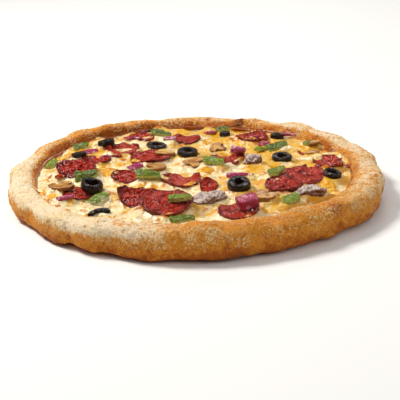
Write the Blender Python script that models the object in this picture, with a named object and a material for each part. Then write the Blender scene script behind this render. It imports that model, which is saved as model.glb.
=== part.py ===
"""Supreme pizza: a twelve-inch hand-stretched pizza, baked and uncut.

A bread crust with a puffed, folded rim holds a layer of melted cheese, and cupped pepperoni, sausage, mushroom,
green pepper, red onion and olive rings lie on it. The origin is at the centre of the base, +Z is up, and the side
that faces a guest is at -Y. All the named sizes are in millimetres, and the meshes are in metres.
"""

import math
import random

import bmesh
import bpy
from mathutils import Matrix, Vector, noise
from mathutils.bvhtree import BVHTree

MM = 0.001

# The whole pizza
PIZZA_WIDTH = 305.0
PIZZA_DEPTH = 303.0
BREAD_FLOOR = 10.0
GAP = 0.35

# The hand-stretched rim, every 30 degrees around from +X: reach beyond a true circle, width and height
RIM_REACHES = (-1.2, -1.4, -1.6, -0.6, -2.8, -2.2, -2.4, -2.6, 2.2, 3.0, -0.6, -0.8)
RIM_WIDTHS = (25.5, 24.0, 21.5, 19.5, 18.5, 21.5, 23.5, 22.5, 26.0, 27.0, 26.0, 26.5)
RIM_HEIGHTS = (24.2, 24.4, 25.6, 22.4, 26.7, 23.8, 22.6, 22.0, 24.2, 25.4, 25.0, 24.6)

# The rim's section: a squarish oval from the foot, over the crest, to the inner wall
CRUST_STEPS = 96
FOOT_ANGLE = -72.0
INNER_FOOT_ANGLE = 188.0
SECTION_STEPS = 15
SECTION_POWER = 0.84
FOOT_POWER = 0.58
FOOT_INSET = 5.0
FOOT_CLEARANCE = 0.35
FLOOR_INSET = 3.0

# Lumps in the dough, and how far the foot lifts off the base between them
LUMP_HEIGHT = 3.2
LUMP_SPACING = 22.0
FOOT_LIFT = 2.0

# Folds pinched into the rim's outer side: place around the rim in degrees from +X, breadth in degrees, depth
FOLDS = (
    (233.0, 4.0, 3.2),
    (246.0, 4.5, 2.6),
    (214.0, 6.0, 1.8),
    (284.0, 5.0, 1.0),
    (318.0, 6.0, 1.3),
    (352.0, 8.0, 1.2),
    (28.0, 7.0, 1.4),
    (64.0, 6.0, 0.5),
    (78.0, 4.0, 1.8),
    (118.0, 8.0, 1.6),
    (160.0, 7.0, 1.6),
)

# The ledge where the dough was folded flat, at the front left
LEDGE_PLACE = 224.0
LEDGE_BREADTH = 24.0
LEDGE_DROP = 1.6
LEDGE_SQUARENESS = 0.40

# The melted cheese
CHEESE_TOP = 17.3
CHEESE_EDGE_DROP = 1.0
CHEESE_SWELL = 1.0
CHEESE_SPACING = 24.0
CHEESE_STEPS = 64
CHEESE_RINGS = 10
CHEESE_CLEARANCE = 1.4
CHEESE_SIDE = 2.6

# How toppings settle
DROP_STEP = 1.0
DROP_GAP = 0.55
MOST_LEAN = 14.0
SKY = 200.0

# Pepperoni slices: x, y, width, how far the edge curls up, turn, lean, direction of the lean
PEPPERONI_THICKNESS = 1.9
PEPPERONI_SIDES = 16
PEPPERONI = (
    (-96.0, -5.0, 32, 8.0, 12, 11, 275),
    (-88.3, -55.3, 28, 2.0, 80, 0, 0),
    (-82.7, 28.1, 24, 2.2, 140, 0, 0),
    (-63.6, 56.2, 31, 3.2, 40, 0, 0),
    (-37.6, 32.7, 35, 3.2, 110, 0, 0),
    (-8.1, 84.0, 26, 3.2, 10, 0, 0),
    (-48, 92, 25, 2.6, 75, 0, 0),
    (-52.0, -19.0, 28, 5.0, 150, 0, 0),
    (-11.1, -29.1, 33, 5.0, 8, 0, 0),
    (-44.0, -71.0, 30, 8.0, 168, 9, 300),
    (-22.0, -92.0, 39, 3.2, 15, 5, 270),
    (109.7, 12.1, 27, 3.4, 95, 4, 270),
    (85.1, -20.7, 38, 2.8, 30, 3, 270),
    (68.7, -48.8, 32, 2.2, 120, 0, 0),
    (50.5, 87.7, 29, 2.8, 50, 0, 0),
    (26.8, 23.3, 27, 5.4, 15, 0, 0),
    (30.9, -101.1, 30, 4.2, 170, 0, 0),
    (10.5, -46.5, 15.0, 2.4, 100, 36, 272),
)

# Mushroom slices: x, y, cap width, height from cap to stem end, thickness, turn, lean, direction of the lean
MUSHROOM_CAP_STEPS = 9
MUSHROOM = (
    (50.5, -78.0, 27, 17, 6.2, 192, 6, 270),
    (-2, 16, 21, 17, 2.8, 15, 6, 270),
    (-105.0, -45.3, 24, 19, 3.0, 150, 0, 0),
    (17.8, 55.2, 16, 14, 3.0, 60, 4, 270),
    (-29.8, 5.6, 20, 17, 3.0, 250, 4, 270),
)

# Sausage and beef crumbles: x, y, length, breadth, height, turn
SAUSAGE = (
    (9.9, -75.8, 30, 15, 8.5, 24),
    (48.1, 15.0, 19, 13, 9.0, 60),
    (86.5, -67.0, 26, 15, 11.0, 24),
)

# Green pepper pieces: x, y, length, breadth, thickness, bend height, turn, how much one end narrows, lean,
# direction of the lean
SQUARENESS = 4.6
CORNER_TURNS = (0.0, 0.42, 0.58)
PEPPER = (
    (-86.6, -21.0, 19, 14, 3.0, 2.2, 15, 0.55, 20, 260),
    (-73.0, -73.1, 18, 13, 3.2, 2.4, 50, 0.25, 8, 250),
    (-99.3, 64.8, 15, 10, 3.2, 2.0, 25, 0.2, 8, 280),
    (-119.0, 18.1, 15, 9, 3.0, 2.2, 75, 0.3, 4, 300),
    (-36.9, -31.6, 20, 10, 3.0, 2.0, -12, 0.45, 8, 270),
    (-30.0, 95.6, 19, 10, 3.0, 1.8, -20, 0.2, 6, 270),
    (-11.0, -93.0, 17, 10, 3.2, 2.2, -18, 0.4, 4, 270),
    (-9.0, -115.0, 19, 9, 3.2, 1.6, 6, 0.5, 10, 270),
    (15.5, 8.1, 17, 10, 3.0, 2.0, -15, 0.15, 8, 270),
    (64.7, -22.2, 14, 9, 3.2, 2.0, 10, 0.35, 8, 270),
    (70, 55, 20, 13, 3.2, 2.2, 24, 0.3, 8, 250),
    (71.1, -82.0, 14.0, 10.5, 5.0, 1.0, 30, 0.1, 12, 265),
    (100.0, 66.9, 10, 8, 3.0, 1.6, 40, 0.2, 8, 250),
    (25.2, 116.4, 14, 8, 3.0, 1.6, 5, 0.25, 4, 270),
)

# Red onion pieces: x, y, length, breadth, thickness, bend height, turn, how much one end narrows, lean,
# direction of the lean
ONION = (
    (-49, 6, 13, 9, 2.6, 2.0, 35, 0.25, 8, 250),
    (-89.6, 50.8, 13, 8, 2.6, 2.0, 15, 0.2, 6, 270),
    (-21.4, 75.6, 11, 7, 2.4, 1.8, -30, 0.3, 6, 270),
    (36.4, 27.1, 13, 9, 2.6, 2.0, 5, 0.35, 6, 270),
    (36, -18, 22, 7, 2.6, 2.4, -4, 0.7, 12, 270),
    (38.0, -99.0, 14.5, 12, 7.4, 1.8, 12, 0.15, 10, 255),
    (-97.8, -70.0, 14, 6, 2.2, 1.6, 8, 0.6, 2, 270),
)

# Black olive rings: x, y, width, height, hole width, lean, direction of the lean, and how much of the ring is there
OLIVE_SIDES = 14
OLIVE = (
    (-78.8, -55.2, 18.5, 7.2, 9.4, 6, 250, 1.0),
    (-70.5, -97.5, 18.0, 3.2, 7.0, 10, 90, 0.5),
    (-77, 66, 16.5, 5.4, 6.4, 2, 200, 1.0),
    (-97.8, 35.1, 13.5, 3.8, 5.4, 2, 90, 1.0),
    (-33.4, 65.8, 18.0, 3.6, 7.4, 4, 10, 1.0),
    (-6.3, 40.5, 18.0, 5.6, 7.6, 6, 300, 1.0),
    (27, 97, 11.0, 4.6, 4.4, 4, 120, 1.0),
    (73, 88, 12.0, 5.2, 4.8, 4, 30, 1.0),
    (72.6, 25.0, 17.5, 5.0, 7.2, 6, 280, 1.0),
    (108.7, -26.0, 16.5, 4.6, 7.8, 4, 300, 1.0),
    (33.7, -51.3, 18.5, 7.2, 6.0, 18, 268, 1.0),
)

# Finishes: base colour, roughness
CRUST_COLOUR = ((0.72, 0.47, 0.20), 0.75)
CHEESE_COLOUR = ((0.86, 0.70, 0.34), 0.38)
PEPPERONI_COLOUR = ((0.46, 0.06, 0.035), 0.36)
MUSHROOM_COLOUR = ((0.55, 0.40, 0.24), 0.6)
SAUSAGE_COLOUR = ((0.34, 0.25, 0.21), 0.6)
PEPPER_COLOUR = ((0.12, 0.25, 0.04), 0.3)
ONION_COLOUR = ((0.34, 0.07, 0.19), 0.3)
OLIVE_COLOUR = ((0.02, 0.018, 0.02), 0.22)


def clear_scene():
    for obj in list(bpy.data.objects):
        bpy.data.objects.remove(obj, do_unlink=True)


def finish_of(name, colour, roughness):
    material = bpy.data.materials.new(name)
    material.use_nodes = True
    shader = material.node_tree.nodes["Principled BSDF"]
    shader.inputs["Base Color"].default_value = (*colour, 1.0)
    shader.inputs["Roughness"].default_value = roughness
    shader.inputs["Metallic"].default_value = 0.0
    return material


def wave(angle, seed, turns=1.0):
    """Smooth noise from -1 to 1 that closes on itself around the pizza. Angle is in radians."""
    at = Vector((turns * math.cos(angle), turns * math.sin(angle), seed * 7.31))
    return max(-1.0, min(1.0, 1.7 * noise.noise(at)))


def bell(angle_degrees, middle, breadth):
    """1 at the middle, falling to 0 a few breadths away, with angles in degrees around the pizza."""
    away = (angle_degrees - middle + 180.0) % 360.0 - 180.0
    return math.exp(-((away / breadth) ** 2))


def signed_power(value, power):
    return math.copysign(abs(value) ** power, value)


def smooth(low, high, value):
    share = max(0.0, min(1.0, (value - low) / (high - low)))
    return share * share * (3.0 - 2.0 * share)


def around(sizes, angle):
    """The size at an angle, on a smooth curve through sizes that are spaced evenly around the pizza from +X."""
    place = (angle % math.tau) / math.tau * len(sizes)
    start = int(place)
    share = place - start
    before, here, after, beyond = (sizes[(start + step) % len(sizes)] for step in (-1, 0, 1, 2))
    bend = 2 * before - 5 * here + 4 * after - beyond
    twist = 3 * (here - after) + beyond - before
    return here + 0.5 * share * (after - before + share * (bend + share * twist))


def rim_radius(angle):
    """The outermost reach of the rim, before it is drawn to the stated width and depth."""
    return PIZZA_WIDTH / 2 + around(RIM_REACHES, angle)


def wall_radius(angle):
    """How far the inner wall of the rim is from the centre, where it stands out the most."""
    return rim_radius(angle) - around(RIM_WIDTHS, angle)


def ledge_share(angle):
    return bell(math.degrees(angle), LEDGE_PLACE, LEDGE_BREADTH)


def fold_depth(angle):
    degrees = math.degrees(angle)
    return sum(depth * bell(degrees, place, breadth) for place, breadth, depth in FOLDS)


def section_power(angle, tilt):
    """How squarely the section turns: sharper at the foot, and over the outer edge of the ledge."""
    if tilt < 0.0:
        return FOOT_POWER
    if tilt < math.pi / 2:
        return SECTION_POWER - LEDGE_SQUARENESS * ledge_share(angle)
    return SECTION_POWER


def rim_point(angle, tilt):
    """A point of the rim's surface: tilt is 0 at the outside, pi/2 at the crest and pi at the inner wall."""
    half_width = around(RIM_WIDTHS, angle) / 2
    half_height = (around(RIM_HEIGHTS, angle) - LEDGE_DROP * ledge_share(angle)) / 2
    power = section_power(angle, tilt)
    radius = rim_radius(angle) - half_width + half_width * signed_power(math.cos(tilt), power)
    height = half_height + half_height * signed_power(math.sin(tilt), power)
    at = Vector((radius * math.cos(angle), radius * math.sin(angle), height)) / LUMP_SPACING
    outer = 1.0 - smooth(math.radians(95), math.radians(150), tilt)
    low_side = smooth(math.radians(-80), math.radians(-30), tilt)
    lump = LUMP_HEIGHT * noise.noise(at) * outer * low_side
    pinch = fold_depth(angle) * outer * (0.35 + 0.65 * math.cos(tilt) ** 2)
    push = lump - pinch
    radius += push * math.cos(tilt)
    height += push * math.sin(tilt)
    foot = 1.0 - smooth(math.radians(FOOT_ANGLE), math.radians(-15), tilt)
    height += FOOT_LIFT * foot * (0.5 + 0.5 * wave(angle, 5, 3.0))
    return radius, height


def point_at(radius, angle, height):
    return Vector((radius * math.cos(angle), radius * math.sin(angle), height))


def crust_rings():
    """Rings of points from the base, up the outside, over the crest and down to the bread under the cheese."""
    first, last = math.radians(FOOT_ANGLE), math.radians(INNER_FOOT_ANGLE)
    base, sections, floor = [], [[] for _ in range(SECTION_STEPS)], [[], []]
    for step in range(CRUST_STEPS):
        angle = math.tau * step / CRUST_STEPS
        base.append(point_at(rim_point(angle, first)[0] - FOOT_INSET, angle, 0.0))
        for ring in range(SECTION_STEPS):
            tilt = first + (last - first) * ring / (SECTION_STEPS - 1)
            radius, height = rim_point(angle, tilt)
            sections[ring].append(point_at(radius, angle, max(height, FOOT_CLEARANCE)))
        inner = wall_radius(angle) - FLOOR_INSET
        floor[0].append(point_at(inner, angle, BREAD_FLOOR))
        floor[1].append(point_at(inner * 0.5, angle, BREAD_FLOOR))
    return [base, *sections, *floor]


def closed_surface(rings, bottom_middle, top_middle):
    """A closed mesh from rings of equal length, with a middle point that closes each end."""
    mesh = bmesh.new()
    lines = [[mesh.verts.new(point) for point in ring] for ring in rings]
    start, end = mesh.verts.new(bottom_middle), mesh.verts.new(top_middle)
    count = len(lines[0])
    for i in range(count):
        j = (i + 1) % count
        mesh.faces.new((start, lines[0][j], lines[0][i]))
        for low, high in zip(lines, lines[1:]):
            mesh.faces.new((low[i], low[j], high[j], high[i]))
        mesh.faces.new((lines[-1][i], lines[-1][j], end))
    bmesh.ops.triangulate(mesh, faces=mesh.faces[:], quad_method="SHORT_EDGE")
    bmesh.ops.recalc_face_normals(mesh, faces=mesh.faces[:])
    return mesh


def place_mesh(name, mesh, material, smooth_angle=50.0):
    """Makes the object from a mesh in millimetres."""
    bmesh.ops.scale(mesh, vec=(MM, MM, MM), verts=mesh.verts[:])
    data = bpy.data.meshes.new(name)
    mesh.to_mesh(data)
    mesh.free()
    data.materials.append(material)
    data.shade_smooth()
    data.set_sharp_from_angle(angle=math.radians(smooth_angle))
    obj = bpy.data.objects.new(name, data)
    bpy.context.scene.collection.objects.link(obj)
    return obj


def reach_of(rings):
    """The lowest and highest X, and the lowest and highest Y, of the lumpy outline."""
    points = [point for ring in rings for point in ring]
    return [(min(point[axis] for point in points), max(point[axis] for point in points)) for axis in (0, 1)]


def draw_to_size(rings, reach):
    """Draws rings to the stated width and depth, about the origin. The bread and the cheese are drawn alike."""
    for axis, size in ((0, PIZZA_WIDTH), (1, PIZZA_DEPTH)):
        low, high = reach[axis]
        for ring in rings:
            for point in ring:
                point[axis] = (point[axis] - low) / (high - low) * size - size / 2


def make_crust(material):
    """The bread, and the reach of its outline before it is drawn to size."""
    rings = crust_rings()
    reach = reach_of(rings)
    draw_to_size(rings, reach)
    mesh = closed_surface(rings, Vector((0, 0, 0)), Vector((0, 0, BREAD_FLOOR)))
    return place_mesh("crust", mesh, material, 80.0), reach


def cheese_height(x, y, edge_share):
    """The top of the melted cheese, which thins towards its edge. edge_share is 0 in the middle and 1 at the edge."""
    at = Vector((x, y, 11.0)) / CHEESE_SPACING
    swell = CHEESE_SWELL * (noise.noise(at) + 0.4 * noise.noise(at * 2.3))
    return CHEESE_TOP + swell * (1.0 - edge_share**6) - CHEESE_EDGE_DROP * smooth(0.93, 1.0, edge_share)


def make_cheese(material, reach):
    bottom = BREAD_FLOOR + GAP
    under, side, tops = [], [], [[] for _ in range(CHEESE_RINGS)]
    for step in range(CHEESE_STEPS):
        angle = math.tau * step / CHEESE_STEPS
        edge = wall_radius(angle) - CHEESE_CLEARANCE
        under.append(point_at(edge - FLOOR_INSET, angle, bottom))
        side.append(point_at(edge, angle, bottom + CHEESE_SIDE))
        for ring in range(CHEESE_RINGS):
            share = 1.0 - ring / CHEESE_RINGS
            flat = point_at(edge * share, angle, 0.0)
            tops[ring].append(Vector((flat.x, flat.y, cheese_height(flat.x, flat.y, share))))
    rings = [under, side, *tops]
    draw_to_size(rings, reach)
    mesh = closed_surface(rings, Vector((0, 0, bottom)), Vector((0, 0, cheese_height(0, 0, 0))))
    return place_mesh("cheese", mesh, material, 60.0)


def outline_points(sides, outline):
    """Points around a piece seen from above, from outline(angle), which gives its radius."""
    return [point_at(outline(math.tau * step / sides), math.tau * step / sides, 0.0) for step in range(sides)]


def slab(edge, thickness, lift, shares=(0.55, 1.0)):
    """A thin piece with this edge seen from above: lift(x, y) bends both faces alike."""
    rings = []
    for height, fractions in ((0.0, shares), (thickness, shares[::-1])):
        for fraction in fractions:
            flat = [point * fraction for point in edge]
            rings.append([point + Vector((0, 0, height + lift(point.x, point.y))) for point in flat])
    middle = lift(0.0, 0.0)
    return closed_surface(rings, Vector((0, 0, middle)), Vector((0, 0, middle + thickness)))


def pepperoni_mesh(width, curl, draw):
    """A round slice whose edge curls up, the most at its own +X and -X."""
    radius = width / 2
    phase, uneven = draw.uniform(0, math.tau), draw.uniform(0.015, 0.045)

    def outline(angle):
        return radius * (1.0 + uneven * math.sin(2 * angle + phase) + 0.015 * math.sin(5 * angle - phase))

    def lift(x, y):
        share = math.hypot(x, y) / radius
        turn = math.atan2(y, x)
        ruffle = 0.64 + 0.36 * math.cos(2 * turn) + 0.12 * math.cos(3 * turn - 2 * phase)
        return curl * ruffle * share**2.4

    return slab(outline_points(PEPPERONI_SIDES, outline), PEPPERONI_THICKNESS, lift, (0.45, 0.8, 1.0))


def chopped_mesh(length, breadth, thickness, bend, narrowing, draw):
    """A piece of a hollow vegetable's wall: a slanted quadrilateral, narrower towards +X and bent over its breadth."""
    skew = 2 * draw.uniform(-0.18, 0.18)
    along = draw.uniform(0.1, 0.35)
    edge = []
    for quarter in range(4):
        for share in CORNER_TURNS:
            turn = (quarter + share) * math.pi / 2
            forward = signed_power(math.cos(turn), 2 / SQUARENESS)
            sideways = signed_power(math.sin(turn), 2 / SQUARENESS) * (1.0 - narrowing * 0.5 * (1.0 + forward))
            edge.append(Vector(((length * forward + skew * breadth * sideways) / 2, breadth * sideways / 2, 0.0)))

    def lift(x, y):
        return -bend * ((2 * y / breadth) ** 2 + along * (2 * x / length) ** 2)

    return slab(edge, thickness, lift)


def mushroom_mesh(width, height, thickness, draw):
    """A slice through a mushroom: the domed cap towards +Y, its rolled lip, and the stem towards -Y."""
    cap, stem = height * 0.5, height * 0.5
    stem_half = width * draw.uniform(0.15, 0.19)
    slant = draw.uniform(-0.12, 0.12) * width
    edge = []
    for step in range(MUSHROOM_CAP_STEPS + 1):
        turn = math.pi * step / MUSHROOM_CAP_STEPS
        edge.append(Vector((width / 2 * math.cos(turn), cap * math.sin(turn) ** 0.85, 0.0)))
    for across, down in ((-0.46, -0.12), (-0.34, -0.10)):
        edge.append(Vector((width * across, cap * 2 * down, 0.0)))
    edge.append(Vector((-stem_half, -0.12 * stem, 0.0)))
    for across in (-1.15, 0.0, 1.15):
        end = stem * (1.06 if across == 0.0 else 1.0)
        edge.append(Vector((stem_half * across + slant, -end, 0.0)))
    edge.append(Vector((stem_half, -0.12 * stem, 0.0)))
    for across, down in ((0.34, -0.10), (0.46, -0.12)):
        edge.append(Vector((width * across, cap * 2 * down, 0.0)))
    middle = Vector((0.0, cap * 0.3, 0.0))
    edge = [point - middle for point in edge]

    def lift(x, y):
        return 0.9 * math.sin(x / width * 3.0) - 0.5 * (y / height) ** 2

    return slab(edge, thickness, lift)


def crumble_mesh(length, breadth, height, draw):
    """A lump of cooked meat, torn and uneven."""
    mesh = bmesh.new()
    bmesh.ops.create_icosphere(mesh, subdivisions=3, radius=1.0)
    seed = draw.uniform(0, 50)
    for vert in mesh.verts:
        direction = vert.co.normalized()
        rough = noise.noise(direction * 1.5 + Vector((seed, 0, 0))) * 0.34
        rough += noise.noise(direction * 3.4 + Vector((0, seed, 0))) * 0.16
        boxy = max(abs(direction.x), abs(direction.y), abs(direction.z)) ** -0.45
        size = (1.0 + rough) * boxy
        vert.co = Vector((direction.x * length, direction.y * breadth, direction.z * height)) * size * 0.44
    return mesh


def olive_mesh(width, height, hole, share, draw):
    """A slice across a pitted olive, with a bulging skin and the round hole: all of it, or a share from its own +X."""
    outer, inner = width / 2, hole / 2
    phase = draw.uniform(0, math.tau)
    profile = (
        (inner * 1.04, 0.0, 0.0),
        (outer * 0.89, 1.0, 0.0),
        (outer * 0.99, 1.0, 0.30),
        (outer * 0.98, 1.0, 0.72),
        (outer * 0.86, 1.0, 1.0),
        (inner * 1.08, 0.0, 1.0),
    )
    mesh = bmesh.new()
    rings = []
    whole = share == 1.0
    for step in range(round(OLIVE_SIDES * share) + (not whole)):
        angle = math.tau * step / OLIVE_SIDES
        oval = 1.0 + 0.05 * math.cos(2 * angle + phase)
        pit = 1.0 + 0.12 * math.cos(3 * angle - phase)
        ring = []
        for radius, skin, level in profile:
            reach = radius * (oval if skin else pit)
            ring.append(mesh.verts.new(point_at(reach, angle, level * height)))
        rings.append(ring)
    if not whole:
        mesh.faces.new(rings[0])
        mesh.faces.new(rings[-1])
    for ring, following in zip(rings, rings[1:] + rings[:1] if whole else rings[1:]):
        for i in range(len(profile)):
            j = (i + 1) % len(profile)
            mesh.faces.new((ring[i], following[i], following[j], ring[j]))
    bmesh.ops.triangulate(mesh, faces=mesh.faces[:])
    bmesh.ops.recalc_face_normals(mesh, faces=mesh.faces[:])
    return mesh


def trees_of(objects):
    """A search tree in millimetres for each object, with its box seen from above."""
    found = []
    for obj in objects:
        points = [vert.co / MM for vert in obj.data.vertices]
        faces = [list(face.vertices) for face in obj.data.polygons]
        box = (min(p.x for p in points), max(p.x for p in points), min(p.y for p in points), max(p.y for p in points))
        found.append((BVHTree.FromPolygons(points, faces), box))
    return found


def surface_height(trees, x, y):
    """The height of the highest surface at a place, or None past every piece."""
    high = None
    for tree, (left, right, near, far) in trees:
        if left <= x <= right and near <= y <= far:
            hit = tree.ray_cast(Vector((x, y, SKY)), Vector((0, 0, -1)))[0]
            if hit is not None and (high is None or hit.z > high):
                high = hit.z
    return high


def places_under(mesh):
    """Places on a grid under a piece, and under each of its points."""
    xs = [vert.co.x for vert in mesh.verts]
    ys = [vert.co.y for vert in mesh.verts]
    places = [(vert.co.x, vert.co.y) for vert in mesh.verts]
    x = min(xs)
    while x <= max(xs):
        y = min(ys)
        while y <= max(ys):
            places.append((x, y))
            y += DROP_STEP
        x += DROP_STEP
    return places


def middle_of(mesh):
    return sum((vert.co for vert in mesh.verts), Vector()) / len(mesh.verts)


def normal_under(mesh, trees):
    """The way that the surface under a piece faces, from a level fitted to the heights there."""
    middle = middle_of(mesh)
    samples = []
    for vert in mesh.verts:
        height = surface_height(trees, vert.co.x, vert.co.y)
        if height is not None:
            samples.append((vert.co.x - middle.x, vert.co.y - middle.y, height))
    mean = sum(sample[2] for sample in samples) / len(samples)
    slopes = []
    for axis in (0, 1):
        rise = sum(sample[axis] * (sample[2] - mean) for sample in samples)
        slopes.append(rise / sum(sample[axis] ** 2 for sample in samples))
    return Vector((-slopes[0], -slopes[1], 1.0)).normalized()


def lean_piece(mesh, axis, degrees):
    if axis.length > 1e-6:
        turn = Matrix.Rotation(math.radians(degrees), 3, axis.normalized())
        bmesh.ops.rotate(mesh, cent=middle_of(mesh), matrix=turn, verts=mesh.verts[:])


def drop(mesh, trees):
    """Lowers a piece until it is just clear of everything under it."""
    own = BVHTree.FromBMesh(mesh)
    fall = None
    for x, y in places_under(mesh):
        under = own.ray_cast(Vector((x, y, -SKY)), Vector((0, 0, 1)))[0]
        high = surface_height(trees, x, y)
        if under is not None and high is not None and (fall is None or high - under.z > fall):
            fall = high - under.z
    bmesh.ops.translate(mesh, vec=(0, 0, fall + DROP_GAP), verts=mesh.verts[:])
    while any(BVHTree.FromBMesh(mesh).overlap(tree) for tree, _ in trees):
        bmesh.ops.translate(mesh, vec=(0, 0, GAP), verts=mesh.verts[:])


def settle(mesh, x, y, turn, placed, lean=0.0, lean_towards=0.0):
    """Turns a piece, moves it over its place, and lowers it onto the slope of what is already there."""
    bmesh.ops.rotate(mesh, cent=(0, 0, 0), matrix=Matrix.Rotation(math.radians(turn), 3, "Z"), verts=mesh.verts[:])
    bmesh.ops.translate(mesh, vec=(x, y, 0), verts=mesh.verts[:])
    upright = Vector((0, 0, 1))
    normal = normal_under(mesh, placed)
    slope = min(math.degrees(normal.angle(upright)), MOST_LEAN)
    lean_piece(mesh, upright.cross(normal), slope)
    towards = math.radians(lean_towards)
    lean_piece(mesh, Vector((-math.sin(towards), math.cos(towards), 0)), lean)
    drop(mesh, placed)


def topping_meshes():
    """Each topping in the order in which it is laid: kind, number, mesh and how it is laid."""
    draw = random.Random(12)
    for number, (x, y, width, curl, turn, lean, towards) in enumerate(PEPPERONI, 1):
        yield "pepperoni", number, pepperoni_mesh(width, curl, draw), (x, y, turn), (lean, towards)
    for number, (x, y, width, height, thickness, turn, lean, towards) in enumerate(MUSHROOM, 1):
        yield "mushroom", number, mushroom_mesh(width, height, thickness, draw), (x, y, turn), (lean, towards)
    for number, (x, y, length, breadth, height, turn) in enumerate(SAUSAGE, 1):
        yield "sausage", number, crumble_mesh(length, breadth, height, draw), (x, y, turn), (0.0, 0.0)
    for kind, pieces in (("pepper", PEPPER), ("onion", ONION)):
        for number, (x, y, length, breadth, thickness, bend, turn, narrowing, lean, towards) in enumerate(pieces, 1):
            mesh = chopped_mesh(length, breadth, thickness, bend, narrowing, draw)
            yield kind, number, mesh, (x, y, turn), (lean, towards)
    for number, (x, y, width, height, hole, lean, towards, share) in enumerate(OLIVE, 1):
        yield "olive", number, olive_mesh(width, height, hole, share, draw), (x, y, 0.0), (lean, towards)


def main():
    clear_scene()
    crust, reach = make_crust(finish_of("baked_bread", *CRUST_COLOUR))
    cheese = make_cheese(finish_of("melted_cheese", *CHEESE_COLOUR), reach)
    finishes = {
        "pepperoni": finish_of("pepperoni", *PEPPERONI_COLOUR),
        "mushroom": finish_of("mushroom", *MUSHROOM_COLOUR),
        "sausage": finish_of("sausage", *SAUSAGE_COLOUR),
        "pepper": finish_of("green_pepper", *PEPPER_COLOUR),
        "onion": finish_of("red_onion", *ONION_COLOUR),
        "olive": finish_of("black_olive", *OLIVE_COLOUR),
    }
    placed = trees_of([crust, cheese])
    for kind, number, mesh, (x, y, turn), (lean, towards) in topping_meshes():
        settle(mesh, x, y, turn, placed, lean, towards)
        obj = place_mesh(f"{kind}_{number:02d}", mesh, finishes[kind])
        placed.extend(trees_of([obj]))


main()
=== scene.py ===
"""Supreme pizza: a puffed rim with grains, melted cheese, meat, mushroom, pepper, onion and olives.

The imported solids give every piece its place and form. Each operator dresses one kind of food.
"""

import math

import bmesh
import bpy
import numpy as np
from mathutils import Matrix, Vector
from mathutils.bvhtree import BVHTree


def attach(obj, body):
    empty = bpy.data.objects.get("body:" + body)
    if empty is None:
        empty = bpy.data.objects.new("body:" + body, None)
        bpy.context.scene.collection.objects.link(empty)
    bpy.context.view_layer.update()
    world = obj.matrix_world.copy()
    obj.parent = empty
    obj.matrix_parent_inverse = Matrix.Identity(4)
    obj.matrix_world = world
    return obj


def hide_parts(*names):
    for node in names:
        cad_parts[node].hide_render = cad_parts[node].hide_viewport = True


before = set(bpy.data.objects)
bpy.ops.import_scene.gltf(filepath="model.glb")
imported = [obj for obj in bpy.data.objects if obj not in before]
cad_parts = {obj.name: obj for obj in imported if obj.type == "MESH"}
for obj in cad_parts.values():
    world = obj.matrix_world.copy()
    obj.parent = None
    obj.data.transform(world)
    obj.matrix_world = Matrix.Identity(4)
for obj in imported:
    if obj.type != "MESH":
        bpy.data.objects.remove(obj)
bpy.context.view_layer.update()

bl_info = {
    "name": "Supreme pizza",
    "version": (1, 0, 0),
    "blender": (4, 5, 0),
    "location": "View3D > Sidebar > Pizza",
    "description": "Dresses the solids of a supreme pizza as baked food",
    "category": "Object",
}

MM = 0.001

# The solid crust is made of this many sections, and each is drawn finer around and across.
CRUST_SECTIONS = 96
SECTION_POINTS = 17
STEPS_AROUND = 8
STEPS_ACROSS = 6

# The rim lies outside this radius in millimetres. The points of a section are put in order round a middle
# this far in from its outermost point and this far up, from this many degrees on.
RIM_FROM = 105
MIDDLE_IN = 13
MIDDLE_UP = 6
ORDER_FROM = 125

# Heights in millimetres: the cheese's underside and its edge at the wall, the sauce, and where rays start.
CHEESE_UNDERSIDE = 11
CHEESE_AT_WALL = 17.2
SAUCE_HEIGHT = 16.7
RAYS_ABOVE = 60
RAYS_BELOW = 13

# How floury and how toasted the rim is, every 30 degrees from +X, counterclockwise.
FLOURY_AT = (0.72, 0.84, 0.80, 0.54, 0.36, 0.52, 1.02, 1.20, 1.12, 0.38, 0.26, 0.60)
TOASTED_AT = (0.18, 0.18, 0.26, 0.36, 0.48, 0.42, 0.14, 0.10, 0.22, 0.48, 0.50, 0.26)

# Blisters and browned patches of the rim: x, y, width and rise in millimetres, and how dark.
BLISTERS = (
    (41.5, 129.0, 11.0, 1.5, 1.3),
    (103.9, -99.8, 15.0, 0.7, 0.8),
    (60.0, -124.0, 10.0, 0.4, 0.4),
    (-103.0, 94.0, 8.0, 0.6, 0.5),
    (-71.0, 124.0, 7.0, 0.5, 0.4),
    (13.0, 139.0, 6.0, 0.4, 0.5),
    (130.0, 60.0, 7.0, 0.3, 0.3),
    (147.0, -22.0, 6.0, 0.2, 0.3),
)

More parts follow.
